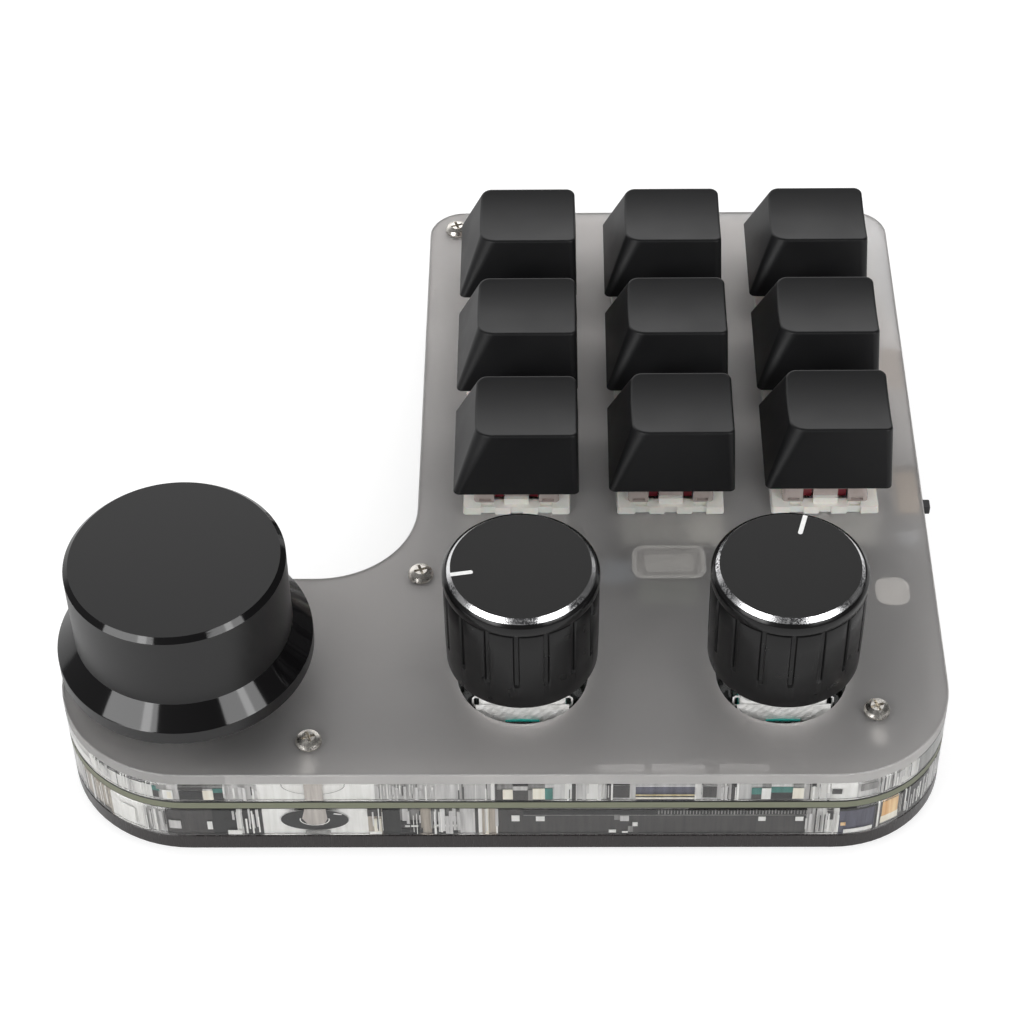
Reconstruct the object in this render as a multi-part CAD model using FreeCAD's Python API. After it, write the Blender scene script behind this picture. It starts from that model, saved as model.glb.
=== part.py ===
import FreeCAD, Part
import math
import os
from FreeCAD import Vector

# Macro keypad with nine keys, one large knob and two small knobs.
# Millimetres, +Z up. The origin is the middle of the overall footprint, on the plane the feet rest on.

# Overall outline, an L with a round lobe at the front left
board_width = 121.6
board_depth = 117.2
right_x = board_width / 2
front_y = -board_depth / 2
back_y = board_depth / 2
lobe_radius = 17.9
front_corner_radius = 16.0
back_corner_radius = 5.5
inner_corner_radius = 14.0
key_block_width = 73.7
key_block_left_x = right_x - key_block_width
lobe_x = -right_x + lobe_radius
lobe_y = front_y + lobe_radius
lobe_back_y = lobe_y + lobe_radius
edge_break = 0.15

# Layers of the stack, from the rest plane up
foot_height = 2.0
base_thickness = 2.8
lower_spacer_thickness = 5.8
circuit_board_thickness = 1.6
upper_spacer_thickness = 3.7
plate_thickness = 2.0
layer_gap = 0.03

# Key grid, set in from the right and back edges
key_columns = 3
key_rows = 3
key_pitch_x = 22.4
key_pitch_y = 21.2
key_right_margin = 14.45
key_back_margin = 18.7
first_key_x = right_x - key_right_margin - (key_columns - 1) * key_pitch_x
first_key_y = back_y - key_back_margin - (key_rows - 1) * key_pitch_y

# Switches
switch_body = 13.9
switch_flange = 15.6
switch_flange_thickness = 1.2
switch_height = 6.6
switch_floor = 1.1
switch_post_radius = 1.95
stem_width = 7.0
stem_depth = 5.8
stem_leg_offset = 2.5
stem_leg_width = 1.2
stem_skirt_z = 2.2
stem_top = switch_height + 0.1
cross_length = 4.0
cross_width = 1.2
cross_rise = 3.7
spring_radius = 2.3
spring_wall = 0.3

# Keycaps, with the two that are pressed on lower or higher than the rest
cap_base = 18.1
cap_gap = 5.9
cap_height = 8.75
cap_left_inset = 3.45
cap_right_inset = 0.25
cap_front_inset = 3.05
cap_back_inset = 2.35
cap_wall = 1.35
cap_roof = 1.6
cap_dish = 0.6
cap_boss_radius = 2.75
cap_seats = {"1_1": -0.5, "1_3": 0.5}

# Encoders and knobs, set in from the front edge and the two sides
knob_row_y = front_y + 17.8
knob_xs = {"large": 17.8 - right_x, "middle": right_x - 58.2, "right": right_x - 22.7}
encoder_body = 11.8
encoder_base_height = 3.7
encoder_case_height = 2.7
bushing_radius = 3.5
bushing_height = 5.0
shaft_radius = 3.0
shaft_flat = 1.5
shaft_top_z = 36.0
push_travel = 0.5
encoder_pocket = 13.8
knob_hole_radius = 9.0
small_knob_bottom_z = 22.6
small_knob_top_z = 39.6
small_knob_radius = 10.5
small_knob_groove_count = 16
grip_angles = {"middle": 19.05, "right": 0.0}
pointer_angles = {"middle": 189.6, "right": 74.5}
cap_disc_radius = 9.95
cap_disc_thickness = 1.4
cap_disc_chamfer = 0.6
large_knob_bottom_z = 23.7
large_knob_top_z = 41.35
large_knob_radius = 14.7
large_knob_skirt_radius = 17.3

# Fasteners and feet
screw_points = [
    (key_block_left_x + 4.3, back_y - 4.6),
    (key_block_left_x + 0.9, lobe_back_y + 0.5),
    (lobe_x + 16.8, front_y + 5.7),
    (right_x - 10.2, front_y + 11.0),
]
screw_shank_radius = 0.95
screw_head_radius = 1.8
screw_head_height = 1.2
screw_length = 5.0
standoff_radius = 1.75
foot_radius = 5.0
foot_points = [
    (knob_xs["large"], knob_row_y),
    (right_x - 56.8, front_y + 8.6),
    (right_x - 10.8, front_y + 22.6),
    (key_block_left_x + 7.9, back_y - 12.6),
    (right_x - 8.0, back_y - 8.0),
]

# Ports at the right edge
usb_y = back_y - 35.65
usb_width = 8.94
usb_height = 3.26
usb_length = 7.35
usb_reach = 0.4
slide_switch_y = back_y - 62.2
slide_switch_length = 9.0
slide_travel = 3.0
slide_nub_reach = 1.6

# Clearances
fit_gap = 0.05
slide_gap = 0.15
plate_hole_gap = 0.1

# Heights that follow from the stack
base_z = foot_height
lower_spacer_z = base_z + base_thickness
board_z = lower_spacer_z + lower_spacer_thickness
board_top_z = board_z + circuit_board_thickness
plate_z = board_top_z + upper_spacer_thickness
plate_top_z = plate_z + plate_thickness
encoder_case_z = board_top_z + encoder_base_height
encoder_top_z = encoder_case_z + encoder_case_height
bushing_top_z = encoder_top_z + bushing_height
lug_offset = encoder_body / 2 + 0.35
plunger_top_z = board_top_z + 2.0
hub_z = bushing_top_z + push_travel + 0.3

key_points = {}
for row in range(key_rows):
    for column in range(key_columns):
        name = "%d_%d" % (row + 1, column + 1)
        key_points[name] = (first_key_x + column * key_pitch_x, first_key_y + row * key_pitch_y)


def block(x0, x1, y0, y1, z0, z1):
    return Part.makeBox(x1 - x0, y1 - y0, z1 - z0, Vector(x0, y0, z0))


def centred_block(x, y, width, depth, z0, z1):
    return block(x - width / 2, x + width / 2, y - depth / 2, y + depth / 2, z0, z1)


def rod(x, y, radius, z0, z1):
    return Part.makeCylinder(radius, z1 - z0, Vector(x, y, z0))


def arc_between(centre, radius, start, end, z):
    """Arc about centre from angle start to angle end, in degrees."""
    points = []
    for angle in (start, (start + end) / 2, end):
        turn = math.radians(angle)
        points.append(Vector(centre[0] + radius * math.cos(turn), centre[1] + radius * math.sin(turn), z))
    return Part.Arc(*points).toShape()


def rounded_wire(x0, x1, y0, y1, radii, z):
    """Rectangle with its own corner radius at front left, front right, back right and back left."""
    front_left, front_right, back_right, back_left = radii
    corners = [
        ((x0 + front_left, y0 + front_left), front_left, 180),
        ((x1 - front_right, y0 + front_right), front_right, 270),
        ((x1 - back_right, y1 - back_right), back_right, 0),
        ((x0 + back_left, y1 - back_left), back_left, 90),
    ]
    arcs = [arc_between(centre, radius, start, start + 90, z) for centre, radius, start in corners]
    edges = []
    for index, arc in enumerate(arcs):
        following = arcs[(index + 1) % 4]
        edges.append(arc)
        edges.append(Part.makeLine(arc.Vertexes[-1].Point, following.Vertexes[0].Point))
    return Part.Wire(edges)


def rounded_block(x, y, width, depth, radius, z0, z1):
    wire = rounded_wire(x - width / 2, x + width / 2, y - depth / 2, y + depth / 2, [radius] * 4, z0)
    return Part.Face(wire).extrude(Vector(0, 0, z1 - z0))


def tapered_block(low, high):
    """Solid between two rounded rectangles, each given as x0, x1, y0, y1, radii, z."""
    return Part.makeLoft([rounded_wire(*low), rounded_wire(*high)], True, True)


def turned(x, y, profile):
    """Solid of revolution about the vertical line at x, y from radius and height pairs."""
    points = [Vector(x + radius, y, z) for radius, z in profile]
    wire = Part.makePolygon(points + [points[0]])
    return Part.Face(wire).revolve(Vector(x, y, 0), Vector(0, 0, 1), 360)


def cut_all(shape, tools):
    return shape.cut(tools).removeSplitter() if tools else shape


def join_all(shapes):
    return shapes[0].fuse(shapes[1:]).removeSplitter()


def save(name, shape):
    shape.exportStep("parts/%s.step" % name)


# Stack outline
def outline_wire(z):
    fillet_x = key_block_left_x - inner_corner_radius
    fillet_y = lobe_back_y + inner_corner_radius
    lobe = arc_between((lobe_x, lobe_y), lobe_radius, 270, 90, z)
    inner = arc_between((fillet_x, fillet_y), inner_corner_radius, 270, 360, z)
    back_left = (key_block_left_x + back_corner_radius, back_y - back_corner_radius)
    back_right = (right_x - back_corner_radius, back_y - back_corner_radius)
    front_right = (right_x - front_corner_radius, front_y + front_corner_radius)
    arcs = [
        lobe,
        inner,
        arc_between(back_left, back_corner_radius, 180, 90, z),
        arc_between(back_right, back_corner_radius, 90, 0, z),
        arc_between(front_right, front_corner_radius, 0, -90, z),
    ]
    edges = []
    for index, arc in enumerate(arcs):
        following = arcs[(index + 1) % len(arcs)]
        edges.append(arc)
        edges.append(Part.makeLine(arc.Vertexes[-1].Point, following.Vertexes[0].Point))
    return Part.Wire(edges)


def sheet(z0, z1):
    """One full layer of the stack with its outer edges slightly broken."""
    solid = Part.Face(outline_wire(z0)).extrude(Vector(0, 0, z1 - z0))
    rims = [edge for edge in solid.Edges if abs(edge.Vertexes[0].Z - edge.Vertexes[-1].Z) < 1e-6]
    return solid.makeChamfer(edge_break, rims)


def holes_at_screws(radius, z0, z1):
    return [rod(x, y, radius, z0, z1) for x, y in screw_points]


def pocket(place, radius, z0, z1):
    """Pocket tool, placed by the distances of its sides from the right edge and from the front edge."""
    left, right, front, back = place
    middle_x = right_x - (left + right) / 2
    middle_y = front_y + (front + back) / 2
    return rounded_block(middle_x, middle_y, left - right, back - front, radius, z0, z1)


# Pockets of the upper spacer that hold the parts on the circuit board, two of them in front of the keys
key_row_from_front = first_key_y - front_y
upper_pockets = [
    (42.2, 32.4, key_row_from_front - 22.9, key_row_from_front - 11.5),
    (8.1, 3.4, key_row_from_front - 23.5, key_row_from_front - 17.9),
    (48.1, 41.8, 1.3, 4.2),
    (40.8, 33.8, 1.3, 4.2),
    (31.8, 25.2, 1.3, 4.2),
]
upper_pocket_radius = 0.9


def base_plate():
    z1 = base_z + base_thickness
    return cut_all(sheet(base_z, z1), holes_at_screws(screw_shank_radius + plate_hole_gap, base_z - 1, z1 + 1))


# The lower spacer has a pocket for each switch socket, each encoder and the parts near the front edge
lower_pockets = [(58.8, 18.6, 1.0, 8.0), (8.2, 2.8, 15.2, 20.6)]
lower_pocket_radius = 1.5
standoff_pocket_radii = [2.6, 2.6, 4.3, 4.3]


def lower_spacer():
    z0 = lower_spacer_z + layer_gap
    z1 = board_z - layer_gap
    tools = []
    for (x, y), radius in zip(screw_points, standoff_pocket_radii):
        tools.append(rod(x, y, radius, z0 - 1, z1 + 1))
    for x, y in key_points.values():
        tools.append(rounded_block(x, y + 1.6, 15.0, 11.0, 1.0, z0 - 1, z1 + 1))
    for x in knob_xs.values():
        tools.append(rounded_block(x, knob_row_y, 15.0, 16.0, 1.5, z0 - 1, z1 + 1))
    tools += [pocket(place, lower_pocket_radius, z0 - 1, z1 + 1) for place in lower_pockets]
    return cut_all(sheet(z0, z1), tools)


def circuit_board():
    z0 = board_z
    z1 = board_top_z
    tools = holes_at_screws(standoff_radius + plate_hole_gap, z0 - 1, z1 + 1)
    for x, y in key_points.values():
        tools.append(rod(x, y, switch_post_radius + fit_gap, z0 - 1, z1 + 1))
    for x in knob_xs.values():
        for side in (-1, 1):
            tools.append(centred_block(x + side * lug_offset, knob_row_y, 0.8, 2.4, z0 - 1, z1 + 1))
    return cut_all(sheet(z0, z1), tools)


def upper_spacer():
    z0 = board_top_z + layer_gap
    z1 = plate_z - layer_gap
    tools = holes_at_screws(standoff_radius + plate_hole_gap, z0 - 1, z1 + 1)
    tools += [pocket(place, upper_pocket_radius, z0 - 1, z1 + 1) for place in upper_pockets]
    for x, y in key_points.values():
        tools.append(rounded_block(x, y, 15.2, 15.2, 0.8, z0 - 1, z1 + 1))
    for x in knob_xs.values():
        tools.append(rounded_block(x, knob_row_y, encoder_pocket, encoder_pocket, 1.5, z0 - 1, z1 + 1))
    usb_depth = usb_length + 0.8
    tools.append(centred_block(right_x, usb_y, usb_depth * 2, usb_width + 1.0, z0 - 1, z1 + 1))
    tools.append(centred_block(right_x, slide_switch_y, 11.0, slide_switch_length + 1.2, z0 - 1, z1 + 1))
    return cut_all(sheet(z0, z1), tools)


def top_plate():
    z0 = plate_z
    z1 = plate_top_z
    tools = holes_at_screws(screw_shank_radius + plate_hole_gap, z0 - 1, z1 + 1)
    hole = switch_body + plate_hole_gap
    for x, y in key_points.values():
        tools.append(rounded_block(x, y, hole, hole, 0.3, z0 - 1, z1 + 1))
    for x in knob_xs.values():
        tools.append(rod(x, knob_row_y, knob_hole_radius, z0 - 1, z1 + 1))
    return cut_all(sheet(z0, z1), tools)


# Fasteners and feet
def standoffs():
    posts = []
    for x, y in screw_points:
        post = rod(x, y, standoff_radius, lower_spacer_z, plate_z)
        bore = rod(x, y, screw_shank_radius + fit_gap, lower_spacer_z - 1, plate_z + 1)
        posts.append(post.cut(bore))
    return Part.makeCompound(posts)


def pan_screw(x, y, seat_z, up):
    """Pan-head screw with a cross recess, its head on the side that up gives, 1 or -1."""
    profile = [
        (0, 0),
        (screw_head_radius - 0.1, 0),
        (screw_head_radius, 0.15),
        (screw_head_radius, 0.45),
        (screw_head_radius * 0.86, 0.85),
        (screw_head_radius * 0.5, screw_head_height),
        (0, screw_head_height),
    ]
    head = turned(0, 0, profile)
    shank = rod(0, 0, screw_shank_radius, -screw_length, 0)
    recess_z = screw_head_height - 0.75
    slots = []
    for turn in (20, 110):
        slot = centred_block(0, 0, 1.9, 0.42, recess_z, screw_head_height + 1)
        slot.rotate(Vector(0, 0, 0), Vector(0, 0, 1), turn)
        slots.append(slot)
    screw = head.fuse(shank).cut(slots)
    if up < 0:
        screw.rotate(Vector(0, 0, 0), Vector(1, 0, 0), 180)
    screw.translate(Vector(x, y, seat_z))
    return screw


def screws(seat_z, up):
    return Part.makeCompound([pan_screw(x, y, seat_z, up) for x, y in screw_points])


def feet():
    bevel = 0.4
    profile = [(0, 0), (foot_radius - bevel, 0), (foot_radius, bevel), (foot_radius, foot_height), (0, foot_height)]
    return Part.makeCompound([turned(x, y, profile) for x, y in foot_points])


# Key switches, drawn about their own centre with z = 0 on the plate's top face
def switch_bottom():
    half = switch_flange / 2
    depth = plate_thickness + upper_spacer_thickness
    flange = tapered_block(
        (-half, half, -half, half, [0.5] * 4, 0),
        (-half + 0.15, half - 0.15, -half + 0.15, half - 0.15, [0.5] * 4, switch_flange_thickness),
    )
    body = rounded_block(0, 0, switch_body, switch_body, 0.25, -depth, 0)
    post = rod(0, 0, switch_post_radius, -depth - 3.2, -depth)
    centre_block = block(-1.75, 1.75, -6.9, -6.0, 0, switch_flange_thickness + 1.1)
    housing = join_all([flange, body, post, centre_block])
    cavity = rounded_block(0, 0, 11.6, 11.6, 0.4, -depth + switch_floor, switch_flange_thickness + 2)
    tools = [cavity]
    for x0, x1 in ((-5.15, -3.1), (-0.9, 0.9), (3.1, 5.15)):
        tools.append(block(x0, x1, -half - 1, -half + 0.35, -0.1, switch_flange_thickness + 1))
    for side in (-1, 1):
        tools.append(centred_block(side * (half - 0.2), 0, 1.0, 5.0, -0.1, switch_flange_thickness + 0.1))
        tools.append(centred_block(side * 4.3, -6.9, 1.8, 1.0, 0.55, switch_flange_thickness + 0.1))
    return housing.cut(tools)


def switch_top():
    low_z = switch_flange_thickness
    outer = join_all([
        rounded_block(0, 0, 12.4, 13.0, 0.6, low_z, low_z + 0.9),
        tapered_block(
            (-6.2, 6.2, -6.5, 6.5, [0.6] * 4, low_z + 0.9),
            (-4.9, 4.9, -5.2, 5.2, [0.9] * 4, switch_height),
        ),
    ])
    cavity = tapered_block(
        (-5.5, 5.5, -5.8, 5.8, [0.4] * 4, low_z - 0.01),
        (-4.4, 4.4, -4.7, 4.7, [0.4] * 4, switch_height - 0.9),
    )
    tools = [
        cavity,
        centred_block(0, 0, stem_width + 0.4, stem_depth + 0.4, switch_height - 1, switch_height + 1),
        block(-1.85, 1.85, -7.5, -5.4, low_z - 1, low_z + 1.2),
    ]
    for side in (-1, 1):
        slot_width = stem_leg_width + 0.3
        tools.append(centred_block(side * stem_leg_offset, -5.9, slot_width, 2.2, low_z - 1, low_z + 2.2))
        tools.append(centred_block(side * 4.6, -6.5, 1.7, 0.9, low_z + 0.25, low_z + 0.9))
        tools.append(centred_block(side * 6.2, 0, 0.9, 4.0, low_z + 0.3, low_z + 1.6))
    return outer.cut(tools)


def stem():
    """Slider of one switch: two front legs, guide skirt, shoulder and the cross that holds the cap."""
    skirt = centred_block(0, 0, 8.4, 7.2, stem_skirt_z, switch_height - 1.0)
    shoulder = centred_block(0, 0, stem_width, stem_depth, stem_skirt_z, stem_top)
    plunger = rod(0, 0, 1.7, -0.4, stem_skirt_z)
    pieces = [skirt, shoulder, plunger]
    for side in (-1, 1):
        pieces.append(centred_block(side * stem_leg_offset, -4.4, stem_leg_width, 1.8, 1.2, 3.4))
    cross_top = stem_top + cross_rise
    pieces.append(centred_block(0, 0, cross_length, cross_width, switch_height, cross_top))
    pieces.append(centred_block(0, 0, cross_width, cross_length, switch_height, cross_top))
    return join_all(pieces)


def spring():
    """Return spring, drawn as a thin sleeve from the floor of the lower housing to the stem's skirt."""
    low = -plate_thickness - upper_spacer_thickness + switch_floor + fit_gap
    high = stem_skirt_z - fit_gap
    return rod(0, 0, spring_radius, low, high).cut(rod(0, 0, spring_radius - spring_wall, low - 1, high + 1))


def keycap():
    """Cap with a steep right side and a long sloping left side, dished across its top."""
    half = cap_base / 2
    top = cap_height
    left = -half + cap_left_inset
    right = half - cap_right_inset
    front = -half + cap_front_inset
    back = half - cap_back_inset
    outer = tapered_block(
        (-half, half, -half, half, [0.9, 0.8, 0.8, 0.9], 0),
        (left, right, front, back, [2.4, 1.1, 1.3, 1.6], top),
    )
    reach = (back - front) / 2
    dish_radius = (reach * reach + cap_dish * cap_dish) / (2 * cap_dish)
    dish_start = Vector(-cap_base, (front + back) / 2, top + dish_radius - cap_dish)
    outer = outer.cut(Part.makeCylinder(dish_radius, cap_base * 2, dish_start, Vector(1, 0, 0)))
    rim = [edge for edge in outer.Edges if edge.BoundBox.ZMin > top - cap_dish - 0.05]
    outer = outer.makeFillet(0.4, rim)
    ceiling = top - cap_roof
    share = ceiling / top
    inner = tapered_block(
        (-half + cap_wall, half - cap_wall, -half + cap_wall, half - cap_wall, [0.4] * 4, -0.01),
        (
            -half + cap_left_inset * share + cap_wall,
            half - cap_right_inset * share - cap_wall,
            -half + cap_front_inset * share + cap_wall,
            half - cap_back_inset * share - cap_wall,
            [0.8] * 4,
            ceiling,
        ),
    )
    lowest_seat = min(cap_seats.values())
    boss_low = stem_top - cap_gap - lowest_seat + 0.1
    socket_top = stem_top + cross_rise - cap_gap - lowest_seat + 0.1
    boss = rod(0, 0, cap_boss_radius, boss_low, ceiling + 0.3)
    long_side = cross_length + 2 * fit_gap
    short_side = cross_width + 2 * fit_gap
    slots = [
        centred_block(0, 0, long_side, short_side, boss_low - 1, socket_top),
        centred_block(0, 0, short_side, long_side, boss_low - 1, socket_top),
    ]
    return outer.cut(inner).fuse(boss).cut(slots)


def hot_swap_sockets():
    """Contact sockets under the circuit board, one for each switch."""
    bodies = []
    for x, y in key_points.values():
        left = centred_block(x - 2.9, y + 2.9, 5.6, 4.4, board_z - 1.85, board_z)
        right = centred_block(x + 2.2, y + 4.4, 6.0, 4.0, board_z - 1.85, board_z)
        sockets = left.fuse(right).removeSplitter()
        bores = [rod(x - 3.81, y + 2.54, 1.45, board_z - 3, board_z + 1)]
        bores.append(rod(x + 2.54, y + 5.08, 1.2, board_z - 3, board_z + 1))
        bodies.append(sockets.cut(bores + [rod(x, y, switch_post_radius + 0.3, board_z - 3, board_z + 1)]))
    return Part.makeCompound(bodies)


def at_keys(shape):
    copies = []
    for x, y in key_points.values():
        copy = shape.copy()
        copy.translate(Vector(x, y, plate_top_z))
        copies.append(copy)
    return Part.makeCompound(copies)


# Rotary encoders
def encoder_base(x):
    """Teal moulded base with a round well for the push contact."""
    size = encoder_body + 0.1
    body = rounded_block(x, knob_row_y, size, size, 0.5, board_top_z, encoder_case_z)
    well = rod(x, knob_row_y, 3.9, board_top_z + 0.5, encoder_case_z + 1)
    return body.cut(well)


def encoder_case(x):
    """Bright metal case with its threaded bushing, two side lugs and five solder pins."""
    half = encoder_body / 2
    y = knob_row_y
    top = tapered_block(
        (x - half, x + half, y - half, y + half, [1.2] * 4, encoder_top_z - 0.4),
        (x - half + 0.3, x + half - 0.3, y - half + 0.3, y + half - 0.3, [1.0] * 4, encoder_top_z),
    )
    wall = rounded_block(x, y, encoder_body, encoder_body, 1.2, encoder_case_z, encoder_top_z - 0.4)
    thread = [(0, encoder_top_z - 0.1), (bushing_radius - 0.2, encoder_top_z - 0.1)]
    turns = 8
    pitch = (bushing_height - 0.6) / turns
    for index in range(turns):
        low = encoder_top_z + 0.3 + index * pitch
        thread.append((bushing_radius - 0.2, low))
        thread.append((bushing_radius, low + pitch / 2))
    thread.append((bushing_radius - 0.2, bushing_top_z - 0.3))
    thread.append((bushing_radius - 0.5, bushing_top_z))
    thread.append((0, bushing_top_z))
    pieces = [top, wall, turned(x, y, thread)]
    for side in (-1, 1):
        lug_x = x + side * lug_offset
        pieces.append(centred_block(lug_x, y, 0.5, 2.0, board_z - 1.4, encoder_top_z - 1.0))
        pieces.append(centred_block(x + side * (half - 0.2), y, 1.1, 2.0, encoder_top_z - 1.6, encoder_top_z - 1.0))
    case = join_all(pieces)
    bore = rod(x, y, shaft_radius + fit_gap, encoder_case_z, bushing_top_z + 1)
    chamber = rod(x, y, 3.9, encoder_case_z - 1, encoder_top_z - 0.7)
    return case.cut([bore, chamber])


def encoder_pins(x):
    pins = []
    edge = encoder_body / 2 + 0.05
    places = [(-2.5, -1), (2.5, -1), (-2.5, 1), (0, 1), (2.5, 1)]
    for offset, side in places:
        y = knob_row_y + side * (edge + 0.2)
        pins.append(centred_block(x + offset, y, 0.8, 0.4, board_top_z, board_top_z + 1.6))
    return pins


def encoder_cases():
    pieces = []
    for x in knob_xs.values():
        pieces.append(encoder_case(x))
        pieces += encoder_pins(x)
    return Part.makeCompound(pieces)


def plunger(x):
    """Push contact disc under the shaft. It goes down with the shaft and doesn't turn."""
    return turned(x, knob_row_y, [(0, plunger_top_z - 0.9), (2.6, plunger_top_z - 0.9), (3.0, plunger_top_z - 0.5),
                                  (3.0, plunger_top_z - 0.2), (0.8, plunger_top_z), (0, plunger_top_z)])


def shaft(x, angle):
    """Turning shaft with a retaining flange and a flat for the knob."""
    y = knob_row_y
    flange_top = encoder_top_z - 0.8
    profile = [
        (0, plunger_top_z + 0.02),
        (2.4, plunger_top_z + 0.02),
        (2.4, flange_top - 0.8),
        (3.6, flange_top - 0.8),
        (3.6, flange_top),
        (shaft_radius, flange_top),
        (shaft_radius, shaft_top_z - 0.4),
        (shaft_radius - 0.4, shaft_top_z),
        (0, shaft_top_z),
    ]
    flat = block(shaft_flat, shaft_radius + 1, -shaft_radius - 1, shaft_radius + 1, shaft_top_z - 10, shaft_top_z + 1)
    flat.rotate(Vector(0, 0, 0), Vector(0, 0, 1), angle)
    flat.translate(Vector(x, y, 0))
    return turned(x, y, profile).cut(flat)


def shaft_bore(x, angle, z0):
    """Space of the shaft inside a knob, with its flat."""
    radius = shaft_radius + fit_gap
    bore = rod(0, 0, radius, z0, shaft_top_z + 0.2)
    key = block(shaft_flat + fit_gap, radius + 1, -radius - 1, radius + 1, shaft_top_z - 9.8, shaft_top_z + 1)
    bore = bore.cut(key)
    bore.rotate(Vector(0, 0, 0), Vector(0, 0, 1), angle)
    bore.translate(Vector(x, knob_row_y, 0))
    return bore


def large_knob(x, angle):
    """Turned aluminium knob: satin top, cut edge, straight wall and a flared skirt, hollow below."""
    wall = large_knob_radius
    skirt = large_knob_skirt_radius
    top = large_knob_top_z
    low = large_knob_bottom_z
    profile = [
        (0, top),
        (wall - 0.7, top),
        (wall, top - 0.7),
        (wall, low + 5.2),
        (skirt - 0.08, low + 2.4),
        (skirt, low + 2.3),
        (skirt, low + 0.25),
        (skirt - 0.25, low),
        (15.2, low),
        (12.0, low + 4.2),
        (12.0, low + 8.5),
        (5.5, low + 8.5),
        (5.5, hub_z),
        (0, hub_z),
    ]
    return turned(x, knob_row_y, profile).cut(shaft_bore(x, angle, hub_z - 1))


def knob_grip(x, angle):
    """Moulded grip with upright grooves, a sloped black collar on top and a hollow underside."""
    low = small_knob_bottom_z
    top = small_knob_top_z - 0.5
    radius = small_knob_radius
    seat_z = small_knob_top_z - cap_disc_thickness
    profile = [
        (0, seat_z),
        (cap_disc_radius + fit_gap, seat_z),
        (cap_disc_radius + fit_gap, top),
        (cap_disc_radius + 0.15, top),
        (radius - 0.05, top - 0.5),
        (radius, top - 1.9),
        (radius - 0.15, top - 2.0),
        (radius - 0.15, low + 0.25),
        (radius - 0.35, low),
        (8.8, low),
        (8.8, low + 7.0),
        (4.6, low + 7.0),
        (4.6, hub_z),
        (0, hub_z),
    ]
    grip = turned(x, knob_row_y, profile)
    grooves = []
    for index in range(small_knob_groove_count):
        groove = centred_block(radius, 0, 0.9, 0.8, low + 4.4, top - 2.2)
        turn = angle + index * 360.0 / small_knob_groove_count
        groove.rotate(Vector(0, 0, 0), Vector(0, 0, 1), turn)
        groove.translate(Vector(x, knob_row_y, 0))
        grooves.append(groove)
    return grip.cut(grooves + [shaft_bore(x, angle, hub_z - 1)])


def knob_cap(x, angle):
    """Aluminium disc in the top of a small knob, with a cut bright rim and a milled pointer line."""
    low = small_knob_top_z - cap_disc_thickness
    top = small_knob_top_z
    rim = cap_disc_radius - cap_disc_chamfer
    disc = turned(x, knob_row_y, [(0, low), (cap_disc_radius, low), (cap_disc_radius, top - cap_disc_chamfer),
                                  (rim, top), (0, top)])
    pointer = block(6.4, rim + 0.05, -0.33, 0.33, top - 0.2, top + 1)
    pointer.rotate(Vector(0, 0, 0), Vector(0, 0, 1), angle)
    pointer.translate(Vector(x, knob_row_y, 0))
    return disc.cut(pointer)


# Charging and data socket at the right edge
def rounded_bar(y, z, width, height, radius, x0, x1):
    """Bar along x with a rounded rectangular section centred on y, z."""
    bar = rounded_block(0, 0, height, width, radius, 0, x1 - x0)
    bar.rotate(Vector(0, 0, 0), Vector(0, 1, 0), 90)
    bar.translate(Vector(x0, y, z))
    return bar


def usb_shell():
    x1 = right_x + usb_reach
    x0 = x1 - usb_length
    z = board_top_z + usb_height / 2
    outer = rounded_bar(usb_y, z, usb_width, usb_height, 1.3, x0, x1)
    wall = 0.3
    inner = rounded_bar(usb_y, z, usb_width - 2 * wall, usb_height - 2 * wall, 1.0, x0 + wall, x1 + 1)
    return outer.cut(inner)


def usb_insert():
    x1 = right_x + usb_reach
    x0 = x1 - usb_length + 0.3
    z = board_top_z + usb_height / 2
    root = rounded_bar(usb_y, z, usb_width - 0.7, usb_height - 0.7, 0.95, x0, x0 + 1.4)
    tongue = centred_block((x0 + x1 - 0.7) / 2, usb_y, x1 - 0.7 - x0, 6.7, z - 0.35, z + 0.35)
    return root.fuse(tongue).removeSplitter()


# Slide switch at the right edge
slide_case_x0 = right_x - 4.6
slide_case_x1 = right_x - 0.5
slide_case_height = 3.3


def power_switch_body():
    y0 = slide_switch_y - slide_switch_length / 2
    y1 = slide_switch_y + slide_switch_length / 2
    z0 = board_top_z
    z1 = z0 + slide_case_height
    case = block(slide_case_x0, slide_case_x1, y0, y1, z0, z1)
    chamber = block(slide_case_x0 + 0.6, slide_case_x1 - 0.5, y0 + 0.5, y1 - 0.5, z0 + 0.5, z1 - 0.5)
    slot = centred_block(slide_case_x1, slide_switch_y, 2.0, slide_travel + 1.6 + 2 * slide_gap, z0 + 0.9, z1 - 0.75)
    return case.cut([chamber, slot])


def power_switch_slider():
    y = slide_switch_y - slide_travel / 2
    z0 = board_top_z
    z1 = z0 + slide_case_height
    x1 = right_x + slide_nub_reach
    carrier = block(slide_case_x0 + 0.7, slide_case_x1 - 0.65, y - 2.2, y + 2.2, z0 + 0.6, z1 - 0.6)
    nub = centred_block((slide_case_x1 - 1 + x1) / 2, y, x1 - slide_case_x1 + 1, 1.6, z0 + 1.05, z1 - 0.9)
    ends = [edge for edge in nub.Edges if edge.BoundBox.XMin > x1 - 0.01]
    return carrier.fuse(nub.makeFillet(0.2, ends)).removeSplitter()


# Parts on the circuit board, each placed by its distances from the right edge and from the front edge, and
# given its width, depth and height
def board_part(place, z, up):
    from_right, from_front, width, depth, height = place
    low = z if up else z - height
    return centred_block(right_x - from_right, front_y + from_front, width, depth, low, low + height)


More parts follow.
